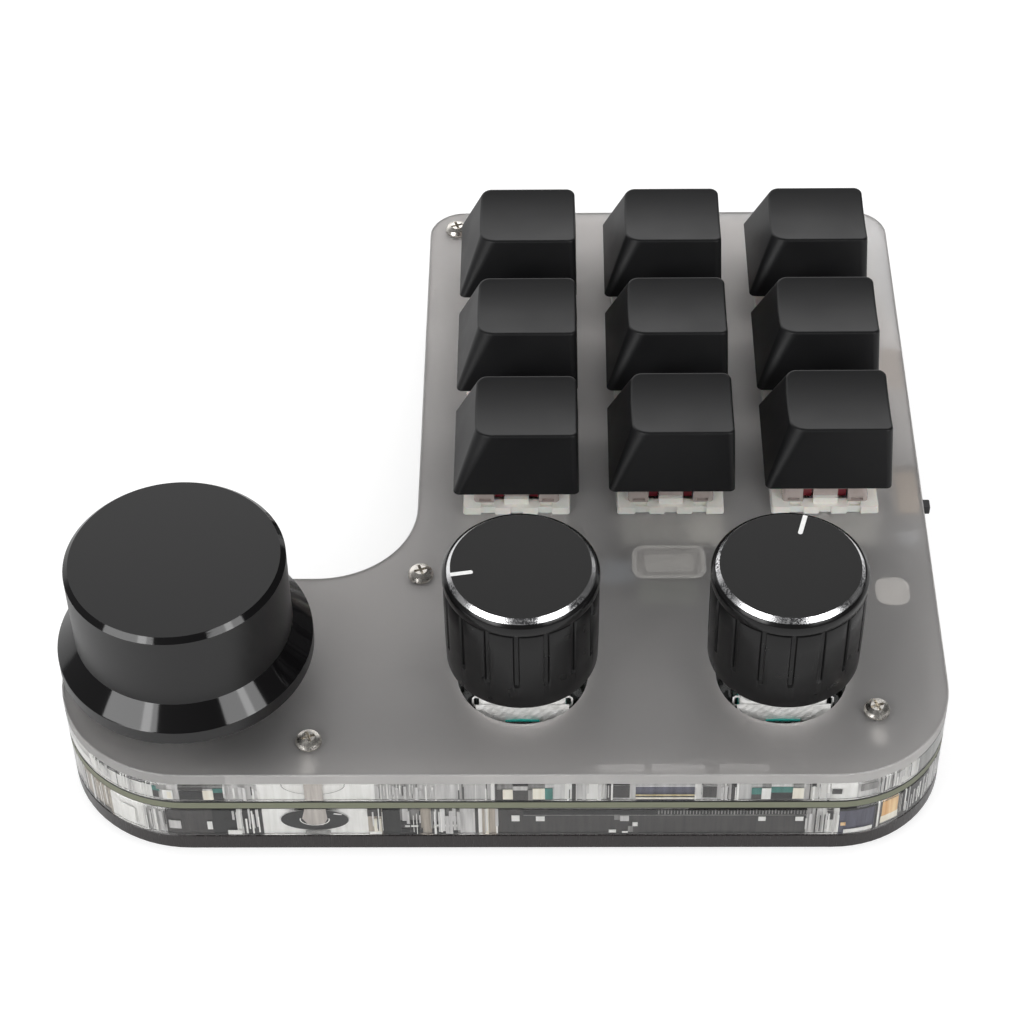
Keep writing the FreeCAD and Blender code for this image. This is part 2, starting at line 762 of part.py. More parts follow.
chip_places = [
    (37.4, key_row_from_front - 16.1, 7.0, 7.0, 1.0),
    (5.8, key_row_from_front - 20.7, 3.0, 3.0, 1.1),
    (45.0, 2.7, 2.6, 1.7, 2.9),
    (37.4, 2.7, 6.2, 1.7, 2.9),
    (28.4, 2.7, 2.6, 1.7, 2.9),
]


def chips():
    return Part.makeCompound([board_part(place, board_top_z, True) for place in chip_places])


small_above = [
    (40.9, key_row_from_front - 21.5, 0.8, 1.6, 0.9),
    (38.6, key_row_from_front - 21.5, 0.8, 1.6, 0.9),
    (36.2, key_row_from_front - 21.5, 0.8, 1.6, 0.9),
    (33.8, key_row_from_front - 21.5, 0.8, 1.6, 0.9),
    (7.2, key_row_from_front - 22.7, 1.2, 0.7, 0.9),
    (4.3, key_row_from_front - 18.6, 1.2, 0.7, 0.9),
    (47.2, 2.7, 0.8, 1.6, 0.9),
    (42.7, 2.7, 0.8, 1.6, 0.9),
    (30.7, 2.7, 0.8, 1.6, 0.9),
    (26.2, 2.7, 0.8, 1.6, 0.9),
]
small_below = [
    (56.9, 4.4, 2.0, 1.25, 1.2),
    (52.2, 5.6, 1.2, 2.0, 1.2),
    (46.2, 2.6, 2.0, 1.25, 1.2),
    (43.4, 4.8, 1.25, 2.0, 1.2),
    (26.7, 4.4, 2.0, 1.25, 1.2),
    (19.9, 4.4, 1.25, 2.0, 1.2),
]


def small_parts():
    above = [board_part(place, board_top_z, True) for place in small_above]
    below = [board_part(place, board_z, False) for place in small_below]
    return Part.makeCompound(above + below)


lamp_places = [(5.5, 17.9, 3.5, 3.5, 1.9), (23.4, 5.0, 3.5, 3.5, 1.9)]
lamp_lens_radius = 1.35
lamp_lens_depth = 0.4


def underglow_leds():
    """Square lamps under the board, each a frame round a recessed lens."""
    lamps = []
    for place in lamp_places:
        body = board_part(place, board_z, False)
        middle = body.CenterOfMass
        low = body.BoundBox.ZMin
        lamps.append(body.cut(rod(middle.x, middle.y, lamp_lens_radius, low - 1, low + lamp_lens_depth)))
    return Part.makeCompound(lamps)


finger_count = 24
finger_width = 0.32
finger_row_width = 14.8


def pin_strip():
    """Row of fine contact fingers under the board's front edge."""
    fingers = []
    for index in range(finger_count):
        from_right = 35.6 - index * finger_row_width / (finger_count - 1)
        fingers.append(board_part((from_right, 1.6, finger_width, 0.7, 0.9), board_z, False))
    return Part.makeCompound(fingers)


os.makedirs("parts", exist_ok=True)

save("base_plate", base_plate())
save("lower_spacer", lower_spacer())
save("circuit_board", circuit_board())
save("upper_spacer", upper_spacer())
save("top_plate", top_plate())
save("standoffs", standoffs())
save("top_screws", screws(plate_top_z, 1))
save("bottom_screws", screws(base_z, -1))
save("feet", feet())

save("switch_bottom_housings", at_keys(switch_bottom()))
save("switch_top_housings", at_keys(switch_top()))
save("hot_swap_sockets", hot_swap_sockets())
key_pieces = {"stem": (stem(), 0), "spring": (spring(), 0), "keycap": (keycap(), cap_gap)}
for key, (key_x, key_y) in key_points.items():
    for kind, (shape, lift) in key_pieces.items():
        piece = shape.copy()
        seat = cap_seats.get(key, 0) if kind == "keycap" else 0
        piece.translate(Vector(key_x, key_y, plate_top_z + lift + seat))
        save("%s_%s" % (kind, key), piece)

save("encoder_bases", Part.makeCompound([encoder_base(x) for x in knob_xs.values()]))
save("encoder_cases", encoder_cases())
for place, knob_x in knob_xs.items():
    save("plunger_" + place, plunger(knob_x))
    save("shaft_" + place, shaft(knob_x, grip_angles.get(place, 0)))
save("knob_large", large_knob(knob_xs["large"], 0))
for place, angle in grip_angles.items():
    save("grip_" + place, knob_grip(knob_xs[place], angle))
    save("cap_" + place, knob_cap(knob_xs[place], pointer_angles[place]))

save("usb_shell", usb_shell())
save("usb_insert", usb_insert())
save("power_switch_body", power_switch_body())
save("power_switch_slider", power_switch_slider())
save("chips", chips())
save("small_parts", small_parts())
save("underglow_leds", underglow_leds())
save("pin_strip", pin_strip())
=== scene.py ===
import math
import random

import bmesh
import bpy
from mathutils import Euler, Matrix, Vector
from mathutils.kdtree import KDTree


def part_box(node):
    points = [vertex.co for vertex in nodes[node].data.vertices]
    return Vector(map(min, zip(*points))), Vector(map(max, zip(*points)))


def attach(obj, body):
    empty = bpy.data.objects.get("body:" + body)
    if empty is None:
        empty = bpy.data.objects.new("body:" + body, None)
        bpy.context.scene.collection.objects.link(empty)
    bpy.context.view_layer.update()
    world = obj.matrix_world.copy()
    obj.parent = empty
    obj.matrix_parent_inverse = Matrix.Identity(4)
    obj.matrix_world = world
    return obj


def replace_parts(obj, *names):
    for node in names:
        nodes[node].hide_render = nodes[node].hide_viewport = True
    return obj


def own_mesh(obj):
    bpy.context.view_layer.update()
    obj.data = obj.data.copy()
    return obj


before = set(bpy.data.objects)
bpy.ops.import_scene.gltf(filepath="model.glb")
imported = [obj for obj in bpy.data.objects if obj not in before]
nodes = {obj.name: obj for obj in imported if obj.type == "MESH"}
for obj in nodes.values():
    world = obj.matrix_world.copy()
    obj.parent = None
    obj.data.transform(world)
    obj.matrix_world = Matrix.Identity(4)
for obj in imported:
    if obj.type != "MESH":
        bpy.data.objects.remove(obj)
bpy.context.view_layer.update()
mm = 0.001


# Base plate: a sheet of black cast acrylic cut by laser to the L outline and held by four screws from
# below. Its faces keep the sheet's polish, and its cut edge is a little duller, with fine upright burn
# lines.
def node_maker(tree, prefix=""):
    """A function that adds a node to the tree, and one that gives a node its links and plain values."""
    def feed(node, inputs):
        for key, value in inputs.items():
            if isinstance(value, bpy.types.NodeSocket):
                tree.links.new(value, node.inputs[key])
            elif isinstance(value, tuple) and node.inputs[key].type == "RGBA":
                node.inputs[key].default_value = (*value, 1)
            else:
                node.inputs[key].default_value = value

    def add(kind, inputs=None, **settings):
        node = tree.nodes.new(prefix + kind)
        for key, value in settings.items():
            setattr(node, key, value)
        feed(node, inputs or {})
        return node

    return add, feed


def new_material(name):
    """A function that adds a node to a new material, and one that sets its surface and gives it back."""
    made = bpy.data.materials.new(name)
    made.use_nodes = True
    tree = made.node_tree
    add, feed = node_maker(tree, "ShaderNode")

    def surface(inputs):
        feed(tree.nodes["Principled BSDF"], inputs)
        return made

    return add, surface


def spread(add, value, low, high, from_low=0.0, from_high=1.0):
    """value carried from one range to another."""
    ranged = add("MapRange", {"Value": value, "From Min": from_low, "From Max": from_high,
                              "To Min": low, "To Max": high})
    return ranged.outputs["Result"]


def grained(add, grain, low, high):
    """A noise, whose values lie mostly between 0.3 and 0.7, carried to another range."""
    return spread(add, grain, low, high, 0.3, 0.7)


def mixed(add, kind, share, first, second):
    """Colour or number between first and second by share."""
    node = add("Mix", data_type=kind, clamp_factor=True)
    sockets = [s for s in node.inputs if s.enabled]
    for socket, value in zip(sockets, (share, first, second)):
        if isinstance(value, bpy.types.NodeSocket):
            node.id_data.links.new(value, socket)
        elif isinstance(value, tuple):
            socket.default_value = (*value, 1)
        else:
            socket.default_value = value
    return [s for s in node.outputs if s.enabled][0]


def two_tone(add, share, first, second):
    return mixed(add, "RGBA", share, first, second)


def blend(add, share, first, second):
    return mixed(add, "FLOAT", share, first, second)


def maths(add, operation, first, second=0.0, clamp=False):
    return add("Math", {0: first, 1: second}, operation=operation, use_clamp=clamp).outputs["Value"]


def place(add, stretch=(1, 1, 1)):
    """Object coordinates in millimetres, stretched along each axis."""
    here = add("TexCoord").outputs["Object"]
    return add("Mapping", {"Vector": here, "Scale": [s / mm for s in stretch]}).outputs["Vector"]


def noise(add, vector, scale, detail=2.0, rough=0.5):
    made = add("TexNoise", {"Vector": vector, "Scale": scale, "Detail": detail, "Roughness": rough})
    return made.outputs["Fac"]


def bump(add, height, depth_mm, strength=1.0):
    return add("Bump", {"Height": height, "Distance": depth_mm * mm, "Strength": strength}).outputs["Normal"]


def dress(material, *names):
    for name in names:
        nodes[name].data.materials.clear()
        nodes[name].data.materials.append(material)


add, surface = new_material("black_acrylic")
fine = noise(add, place(add), 0.35, 4.0)
burn_lines = noise(add, place(add, (1, 1, 0.04)), 2.2, 3.0)
dress(surface({
    "Base Color": two_tone(add, fine, (0.019, 0.0155, 0.0155), (0.027, 0.023, 0.023)),
    "Roughness": spread(add, burn_lines, 0.16, 0.34, 0.35, 0.65),
    "Normal": bump(add, burn_lines, 0.02, 0.35),
    "IOR": 1.49,
}), "base_plate")


# Clear spacers: two sheets of clear cast acrylic, one under the circuit board and one over it, with pockets
# for the parts. The laser leaves their cut edges bright, with faint upright waves.
add, surface = new_material("clear_acrylic")
waves = noise(add, place(add, (1, 1, 0.03)), 0.9, 3.0)
dress(surface({
    "Base Color": two_tone(add, waves, (0.955, 0.96, 0.955), (0.985, 0.99, 0.985)),
    "Roughness": spread(add, waves, 0.0, 0.04, 0.4, 0.7),
    "Normal": bump(add, waves, 0.02, 0.2),
    "IOR": 1.49,
    "Transmission Weight": 1.0,
}), "lower_spacer", "upper_spacer")


# Painted light in the clear sheets: their pocket walls, board parts and cut edges show through the edge as
# upright panels of painted light and shade and of the parts' colours, each a thin strip that follows the
# outline just inside the sheet.
def put(name, data):
    """New object in the scene."""
    made = bpy.data.objects.new(name, data)
    bpy.context.scene.collection.objects.link(made)
    return made


def own_piece(name, mesh, body, *materials):
    """New object of the mesh on one body."""
    made = put(name, mesh)
    for material in materials:
        mesh.materials.append(material)
    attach(made, body)
    return made


def mesh_of(shape, name):
    """Plain mesh of the built shape, with all its faces turned outwards."""
    bmesh.ops.recalc_face_normals(shape, faces=shape.faces)
    mesh = bpy.data.meshes.new(name)
    shape.to_mesh(mesh)
    shape.free()
    return mesh


def thicken(shape, faces, move):
    """Gives the faces a thickness, by a copy of them that is set off by move."""
    raised = bmesh.ops.extrude_face_region(shape, geom=faces)
    bmesh.ops.translate(shape, vec=Vector(move),
                        verts=[item for item in raised["geom"] if isinstance(item, bmesh.types.BMVert)])


def slab(name, corners, move):
    """Mesh of a flat outline with a thickness. Corners and move are in millimetres."""
    shape = bmesh.new()
    face = shape.faces.new([shape.verts.new([value * mm for value in corner]) for corner in corners])
    thicken(shape, [face], [value * mm for value in move])
    return mesh_of(shape, name)


def plain_surface(name, first, second, rough, metallic=0.0, scale=2.0, depth=0.01, stretch=(1, 1, 1)):
    """Moulded, plated or printed surface with a fine grain."""
    add, surface = new_material(name)
    grain = noise(add, place(add, stretch), scale, 5.0, 0.6)
    return surface({
        "Base Color": two_tone(add, grained(add, grain, 0.0, 1.0), first, second),
        "Roughness": grained(add, grain, rough * 0.8, rough * 1.25),
        "Normal": bump(add, grain, depth, 0.5),
        "Metallic": metallic,
    })


half_width = 60.8
half_depth = 58.6
key_block_width = 73.7
lobe_radius = 17.9
front_corner_radius = 16.0
back_corner_radius = 5.5
inner_corner_radius = 14.0
key_block_left_x = half_width - key_block_width
outline_arcs = [
    (half_width - front_corner_radius, front_corner_radius - half_depth, front_corner_radius, -90, 0),
    (half_width - back_corner_radius, half_depth - back_corner_radius, back_corner_radius, 0, 90),
    (key_block_left_x + back_corner_radius, half_depth - back_corner_radius, back_corner_radius, 90, 180),
    (key_block_left_x - inner_corner_radius, 2 * lobe_radius - half_depth + inner_corner_radius,
     inner_corner_radius, 360, 270),
    (lobe_radius - half_width, lobe_radius - half_depth, lobe_radius, 90, 270),
]
arc_steps = 24
edge_points = []
for x, y, radius, start, end in outline_arcs:
    for index in range(arc_steps + 1):
        angle = math.radians(start + (end - start) * index / arc_steps)
        ray = Vector((math.cos(angle), math.sin(angle)))
        edge_points.append((Vector((x, y)) + radius * ray, ray if end > start else -ray))
edge_points.append(edge_points[0])
edge_distances = [edge_points[0][0].x]
for (here, _), (there, _) in zip(edge_points, edge_points[1:]):
    edge_distances.append(edge_distances[-1] + (there - here).length)
edge_length = edge_distances[-1] - edge_distances[0]


def along(distance, depth):
    """Point depth inside the outline, at a distance to the right along it from the middle of the front."""
    while distance < edge_distances[0]:
        distance += edge_length
    index = max(i for i, mark in enumerate(edge_distances[:-1]) if mark <= distance)
    span = edge_distances[index + 1] - edge_distances[index]
    share = (distance - edge_distances[index]) / span
    here, away = edge_points[index]
    there, next_away = edge_points[index + 1]
    return here.lerp(there, share) - away.lerp(next_away, share).normalized() * depth


panel_thickness = 0.12
edge_margin = 0.05


def add_panel(shape, start, end, low, high, depth):
    """Upright strip along the outline between two distances and two heights."""
    count = max(1, round(end - start))
    rings = []
    for index in range(count + 1):
        distance = start + (end - start) * index / count
        outer = along(distance, depth)
        inner = along(distance, depth + panel_thickness)
        corners = [(outer, low), (outer, high), (inner, high), (inner, low)]
        rings.append([shape.verts.new((p.x * mm, p.y * mm, z * mm)) for p, z in corners])
    shape.faces.new(rings[0])
    shape.faces.new(rings[-1])
    for here, there in zip(rings, rings[1:]):
        for side in range(4):
            shape.faces.new((here[side], here[side - 1], there[side - 1], there[side]))


def panels(name, sheet_low, sheet_high, depth, rows, material):
    """One piece of panels. Each row is two distances, and two shares of the sheet's height where not full."""
    shape = bmesh.new()
    bottom = sheet_low + edge_margin
    room = sheet_high - sheet_low - 2 * edge_margin
    for start, end, *shares in rows:
        low, high = shares or (0, 1)
        add_panel(shape, start, end, bottom + low * room, bottom + high * room, depth)
    own_piece(name, mesh_of(shape, name), "board", material)


# The white, pale, grey, dark, black and slate tones are painted light and shade; the others are the colours
# of parts seen through the edge.
tones = {
    "white": ((0.80, 0.79, 0.76), (0.97, 0.96, 0.94)),
    "pale": ((0.46, 0.45, 0.445), (0.74, 0.725, 0.715)),
    "grey": ((0.18, 0.175, 0.17), (0.36, 0.35, 0.34)),
    "dark": ((0.028, 0.026, 0.026), (0.07, 0.064, 0.062)),
    "black": ((0.004, 0.004, 0.004), (0.014, 0.013, 0.013)),
    "teal": ((0.02, 0.13, 0.11), (0.06, 0.24, 0.21)),
    "cream": ((0.82, 0.76, 0.64), (0.95, 0.92, 0.82)),
    "tan": ((0.36, 0.31, 0.26), (0.58, 0.52, 0.45)),
    "post": ((0.40, 0.36, 0.335), (0.64, 0.60, 0.56)),
    "slate": ((0.05, 0.05, 0.075), (0.13, 0.13, 0.18)),
    "gold": ((0.60, 0.48, 0.24), (0.82, 0.70, 0.44)),
    "amber": ((0.70, 0.36, 0.12), (0.95, 0.72, 0.42)),
}
tone_materials = {}
for tone, (first, second) in tones.items():
    tone_materials[tone] = plain_surface("light_" + tone, first, second, 0.45, scale=1.5,
                                         stretch=(1, 1, 0.06))

upper_back = {
    "white": [(-58, -47.2), (-33, -17.2), (8.3, 9.25), (11.25, 13.4), (25.8, 26.7), (41.1, 43.5),
        (43.8, 47.6), (50.6, 50.8), (54.1, 57.6)],
    "pale": [(-66, -58), (-47.2, -43.6), (-37.5, -33), (-17.2, -0.9), (1.35, 3.4), (5.65, 8.3),
        (9.8, 11.25), (13.4, 17.8), (17.8, 25.8, 0.75, 1), (26.7, 30.6), (31.3, 34.7), (40.3, 41.1),
        (47.6, 50.6), (50.8, 54.1)],
    "grey": [(-43.6, -40.3), (-40.3, -37.5), (-0.9, 1.35), (3.4, 5.65), (34.7, 40.3), (57.6, 66)],
    "dark": [(9.25, 9.8), (30.6, 31.3)],
    "slate": [(17.8, 25.8, 0, 0.75)],
}
upper_front = {
    "white": [(-66, -58, 0.05, 0.5), (-45.8, -44.4, 0.05, 0.6), (-1.6, -1.1), (14.5, 14.75),
        (29.7, 29.9, 0.2, 1), (31.3, 31.6), (34.65, 35.9, 0.05, 0.7), (43.9, 47.4, 0.7, 1)],
    "pale": [(-40.2, -39.0, 0.62, 0.7), (1.4, 3.3, 0.6, 0.84), (35.9, 38.8, 0.8, 1)],
    "grey": [(-46.8, -45.4, 0.6, 1), (-13.2, -13.0), (-5.5, -5.3), (43.5, 43.8), (48.0, 50.4, 0.4, 0.8),
        (3.4, 4.0, 0, 0.6)],
    "dark": [(-57, -47.4, 0.80, 0.86), (-47.2, -46.4, 0.1, 0.5), (-43.6, -40.3, 0.66, 0.78),
        (-0.9, 0, 0, 0.6), (1.35, 3.4, 0, 0.6), (1.35, 3.4, 0.84, 0.89), (14.1, 14.5),
        (14.75, 17.0, 0.15, 0.85), (17.8, 25.8, 0.18, 0.25), (26.7, 28.65, 0.15, 0.8),
        (33.3, 34.65, 0.05, 0.34), (41.3, 41.9, 0.8, 0.97), (44.1, 45.4, 0.35, 0.62)],
    "black": [(-43.5, -40.4, 0.08, 0.58), (-38.9, -37.5, 0.05, 0.48), (35.9, 38.8, 0.05, 0.45)],
    "teal": [(-47.2, -46.2, 0.5, 0.78), (-38.9, -37.5, 0.48, 0.72), (5.65, 6.7, 0.05, 0.72),
        (33.3, 34.65, 0.34, 0.72), (35.9, 38.8, 0.45, 0.78)],
    "cream": [(-40.3, -38.9, 0.05, 0.6), (0, 1.35, 0.05, 0.64), (4.0, 5.65, 0.05, 0.7),
        (38.8, 40.3, 0.08, 0.7), (17.8, 25.7, 0.06, 0.16), (-45.2, -44.6, 0.1, 0.5)],
    "gold": [(17.8, 25.7, 0.26, 0.33)],
}
lower_back = {
    "white": [(-54.7, -49.2), (-32.7, -18.4), (-36.2, -35.4), (-3.4, -2.9), (43.2, 45.4)],
    "pale": [(-66, -60.7), (-49.2, -46.0), (-5.9, -3.85), (41.0, 43.2)],
    "tan": [(-60.7, -54.7), (-18.4, -16.4), (-11.3, -9.7), (-2.9, -0.9)],
    "grey": [(-9.7, -5.9), (-14.0, -11.3, 0.5, 1), (50.6, 54.6)],
    "dark": [(-46.0, -39.5), (-35.4, -32.7), (-14.0, -11.3, 0, 0.5), (-3.85, -3.4), (-0.9, 41.0),
        (54.6, 66)],
    "black": [(-39.5, -36.2), (-16.4, -14.0)],
    "slate": [(45.4, 50.6)],
}
lower_front = {
    "white": [(-37.6, -35.7, 0, 0.16), (-18.3, -16.6, 0, 0.1), (-13.4, -11.6, 0.28, 0.34),
        (-9.2, -6.1, 0.3, 0.36), (4.4, 5.6, 0.5, 0.68), (1.1, 2.2, 0.5, 0.72), (34.5, 35.5, 0.5, 0.66),
        (39.5, 40.6, 0.5, 0.66), (14.3, 15.3, 0.05, 0.16), (16.1, 16.9, 0.04, 0.1), (17.5, 18.2, 0.3, 0.45),
        (46.2, 50.3, 0, 0.14), (50.9, 51.2), (-40.3, -39.6, 0.2, 0.5), (-53, -50.5, 0.1, 0.7)],
    "grey": [(2.7, 25.0, 0.93, 0.95), (2.7, 41.0, 0.715, 0.735), (15.0, 15.8, 0.55, 0.75),
        (16.9, 17.6, 0.08, 0.3)],
    "pale": [(-45.6, -43.9, 0.22, 0.52), (15.8, 17.0, 0.5, 0.7), (-13.7, -12.9, 0.52, 0.95),
        (-8.6, -8.1, 0.5, 1), (-6.9, -6.4, 0.5, 1), (61, 62, 0.1, 1)],
    "dark": [(-18.4, -16.5, 0.70, 0.96), (-9.6, -6.0, 0.38, 0.48), (43.7, 44.6, 0.55, 0.9),
        (-60.5, -55, 0, 0.12), (-66, -60.8, 0, 0.2)],
    "black": [(-13.9, -11.2, 0.38, 0.5), (-13.9, -11.0, 0.05, 0.22), (-9.6, -6.2, 0.05, 0.22),
        (2.7, 41.0, 0.76, 0.90), (50.6, 50.9), (45.4, 50.6, 0.86, 1)],
    "cream": [(-17.6, -16.6, 0.1, 0.6), (-2.5, -2.0), (51.5, 54.3, 0.1, 0.35)],
    "amber": [(45.7, 46.4, 0.3, 0.42), (51.6, 54.2, 0.35, 0.9)],
}
port_openings = [(102.3, 115.1), (129.9, 141.1)]
front_reach = 66.0
least_panel = 0.5
# Along the sides and back: random panels of painted light and shade, clear of the port openings in the upper
# sheet.
dice = random.Random(11)
for table, in_lower_sheet in ((upper_back, False), (lower_back, True)):
    distance = front_reach
    while distance < edge_length - front_reach - least_panel:
        width = min(dice.choice((least_panel, 0.9, 1.6, 3.0, 5.5, 8.0)), edge_length - front_reach - distance)
        weights = (1, 4, 5, 3 if in_lower_sheet else 1, 1)
        tone = dice.choices(("white", "pale", "grey", "dark", "tan"), weights)[0]
        if in_lower_sheet or all(distance + width < start or distance > end for start, end in port_openings):
            table.setdefault(tone, []).append((distance, distance + width))
        distance += width

lower_low, lower_high = (corner.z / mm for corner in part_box("lower_spacer"))
upper_low, upper_high = (corner.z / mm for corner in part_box("upper_spacer"))
for table, label, low, high, depth in (
        (upper_back, "upper_back", upper_low, upper_high, 0.75),
        (upper_front, "upper_front", upper_low, upper_high, 0.4),
        (lower_back, "lower_back", lower_low, lower_high, 0.85),
        (lower_front, "lower_front", lower_low, lower_high, 0.4)):
    for tone, rows in table.items():
        panels("edge_%s_%s" % (label, tone), low, high, depth, rows, tone_materials[tone])


def edge_form(name, sheet, corners, depth, tone):
    """Flat form behind the front edge. Each corner is a distance and a share of the sheet's height."""
    low, high = sheet
    room = high - low - 2 * edge_margin
    rim = [(s, depth - half_depth, low + edge_margin + h * room) for s, h in corners]
    own_piece(name, slab(name, rim, (0, 0.05, 0)), "board", tone_materials[tone])


def oval(middle, level, width, height, start=0, end=360, line=0.0):
    """Corners of an oval, or of a band along part of its rim."""
    steps = 40
    turns = [math.radians(start + (end - start) * index / steps) for index in range(steps + 1)]
    rim = [(middle + width * math.cos(a), level + height * math.sin(a)) for a in turns]
    if not line:
        return rim[:-1]
    share = 1 - line / width
    return rim + [(middle + (s - middle) * share, level + (h - level) * share) for s, h in reversed(rim)]


upper_sheet = (upper_low, upper_high)
lower_sheet = (lower_low, lower_high)
# The standoff post seen through the front edge: its own colour, a dark hole as painted shade, and a bright
# rim and flash as painted highlights.
post_middle = -25.4
edge_form("post_upper", upper_sheet,
          [(post_middle - 1.25, 0), (post_middle + 1.25, 0), (post_middle + 1.25, 1),
           (post_middle - 1.25, 1)], 0.3, "post")
edge_form("arc_upper", upper_sheet,
          oval(post_middle, 0.98, 4.35, 0.62, 180, 360, 0.12), 0.38, "grey")
edge_form("post_hole_shade", lower_sheet, oval(post_middle - 0.2, 0.56, 4.6, 0.39), 0.45, "black")
edge_form("post_lower", lower_sheet,
          [(post_middle - 1.9, 0.62), (post_middle - 1.2, 0.4), (post_middle + 0.9, 0.36),
           (post_middle + 1.55, 0.6), (post_middle + 1.4, 0.94), (post_middle - 1.5, 0.94)], 0.38, "post")
edge_form("post_rim_highlight", lower_sheet,
          oval(post_middle - 0.2, 0.58, 2.05, 0.22, 165, 372, 0.16), 0.3, "white")
edge_form("post_foot", lower_sheet,
          [(post_middle - 1.6, 0.02), (post_middle + 1.8, 0.02), (post_middle + 1.8, 0.15),
           (post_middle - 1.6, 0.15)], 0.4, "grey")
edge_form("post_flash", lower_sheet,
          [(-23.0, 0.79), (-21.9, 0.76), (-21.8, 0.80), (-22.9, 0.83)], 0.3, "white")


# Fine streaks in the cut edges: the laser leaves thin upright lines, and the light and shade they catch is
# painted on them as bright and dark slivers scattered along the outline, each with its own width, height and
# level.
def sliver_tree(name, material):
    """Thin upright slivers along each line of a mesh."""
    tree = bpy.data.node_groups.new(name, "GeometryNodeTree")
    tree.interface.new_socket(name="Geometry", in_out="INPUT", socket_type="NodeSocketGeometry")
    tree.interface.new_socket(name="Geometry", in_out="OUTPUT", socket_type="NodeSocketGeometry")
    for label in ("Spacing", "Least Width", "Most Width", "Sheet", "Least Share", "Deepest", "Kept"):
        tree.interface.new_socket(name=label, in_out="INPUT", socket_type="NodeSocketFloat")
    tree.interface.new_socket(name="Seed", in_out="INPUT", socket_type="NodeSocketInt")
    asked = tree.nodes.new("NodeGroupInput").outputs
    result = tree.nodes.new("NodeGroupOutput")
    step, _ = node_maker(tree)

    def sum_of(operation, first, second):
        return step("ShaderNodeMath", {0: first, 1: second}, operation=operation).outputs[0]

    def chance(low, high, offset):
        seed = sum_of("ADD", asked["Seed"], float(offset))
        drawn = step("FunctionNodeRandomValue", {2: low, 3: high, "Seed": seed}, data_type="FLOAT")
        return drawn.outputs[1]

    line = step("GeometryNodeMeshToCurve", {"Mesh": asked["Geometry"]})
    spots = step("GeometryNodeCurveToPoints", {
        "Curve": line.outputs["Curve"], "Length": asked["Spacing"]}, mode="LENGTH")
    lost = sum_of("GREATER_THAN", chance(0.0, 1.0, 5), asked["Kept"])
    left = step("GeometryNodeDeleteGeometry", {"Geometry": spots.outputs["Points"], "Selection": lost},
                domain="POINT")
    turn = step("FunctionNodeAlignRotationToVector", {"Vector": spots.outputs["Tangent"]},
                axis="X", pivot_axis="Z")
    tall = sum_of("MULTIPLY", chance(asked["Least Share"], 1.0, 2), asked["Sheet"])
    room = sum_of("SUBTRACT", asked["Sheet"], tall)
    level = sum_of("ADD", sum_of("MULTIPLY", room, chance(0.0, 1.0, 3)), sum_of("MULTIPLY", tall, 0.5))
    width = chance(asked["Least Width"], asked["Most Width"], 1)
    size = step("ShaderNodeCombineXYZ", {"X": width, "Y": 0.08 * mm, "Z": tall})
    block = step("GeometryNodeMeshCube", {"Size": (1.0, 1.0, 1.0)})
    slivers = step("GeometryNodeInstanceOnPoints", {
        "Points": left.outputs["Geometry"], "Instance": block.outputs["Mesh"],
        "Rotation": turn.outputs["Rotation"], "Scale": size.outputs["Vector"]})
    shift = step("ShaderNodeCombineXYZ", {"Y": chance(0.0, asked["Deepest"], 4), "Z": level})
    moved = step("GeometryNodeTranslateInstances", {
        "Instances": slivers.outputs["Instances"], "Translation": shift.outputs["Vector"],
        "Local Space": False})
    solid = step("GeometryNodeRealizeInstances", {"Geometry": moved.outputs["Instances"]})
    painted = step("GeometryNodeSetMaterial", {"Geometry": solid.outputs["Geometry"], "Material": material})
    tree.links.new(painted.outputs["Geometry"], result.inputs["Geometry"])
    return tree


def baked(holder):
    """Plain mesh of an object with all that shapes it. The object itself goes."""
    made = bpy.data.meshes.new_from_object(holder.evaluated_get(bpy.context.evaluated_depsgraph_get()))
    bpy.data.objects.remove(holder)
    return made


def grow(tree, mesh, values):
    """Plain mesh that the tree makes of mesh with these values."""
    holder = put(mesh.name, mesh)
    modifier = holder.modifiers.new("tree", "NODES")
    modifier.node_group = tree
    for item in tree.interface.items_tree:
        if item.in_out == "INPUT" and item.name in values:
            modifier[item.identifier] = values[item.name]
    return baked(holder)


def edge_lines(name, zones, depth, z):
    """Mesh of one line along the outline for each zone."""
    points = []
    links = []
    for start, end in zones:
        count = max(1, round((end - start) / 0.5))
        for index in range(count + 1):
            point = along(start + (end - start) * index / count, depth)
            if index:
                links.append((len(points) - 1, len(points)))
            points.append((point.x * mm, point.y * mm, z * mm))
    mesh = bpy.data.meshes.new(name)
    mesh.from_pydata(points, links, [])
    return mesh


upper_streaks = [(-57, -47.5), (-37.4, -33.1), (-17.2, -9.0), (-5.9, -0.9), (8.3, 14.0), (25.8, 26.7),
                 (29.4, 31.6), (41.1, 43.6), (50.8, 57)]
lower_streaks = [(-64, -55), (-49.2, -46.0), (-36.6, -32.8), (-18.3, -16.4), (-14, -11.3), (-9.7, -0.9),
                 (41.0, 45.3), (54.6, 64)]
upper_sides = [(front_reach, 102.3), (115.1, 129.9), (141.1, edge_length - front_reach)]
lower_sides = [(front_reach, edge_length - front_reach)]
front_zones = (upper_streaks, lower_streaks)
side_zones = (upper_sides, lower_sides)
streak_rounds = [
    ("white", front_zones, 0.42, 0.05, 0.32, 0.5, 0.40), ("dark", front_zones, 0.60, 0.05, 0.22, 0.45, 0.32),
    ("pale", front_zones, 0.5, 0.1, 0.5, 0.3, 0.45), ("grey", side_zones, 1.3, 0.08, 0.9, 0.5, 0.5),
    ("cream", side_zones, 2.1, 0.05, 0.3, 0.6, 0.3)]
streak_depth = 0.22
streak_margin = 0.08
seed = 5
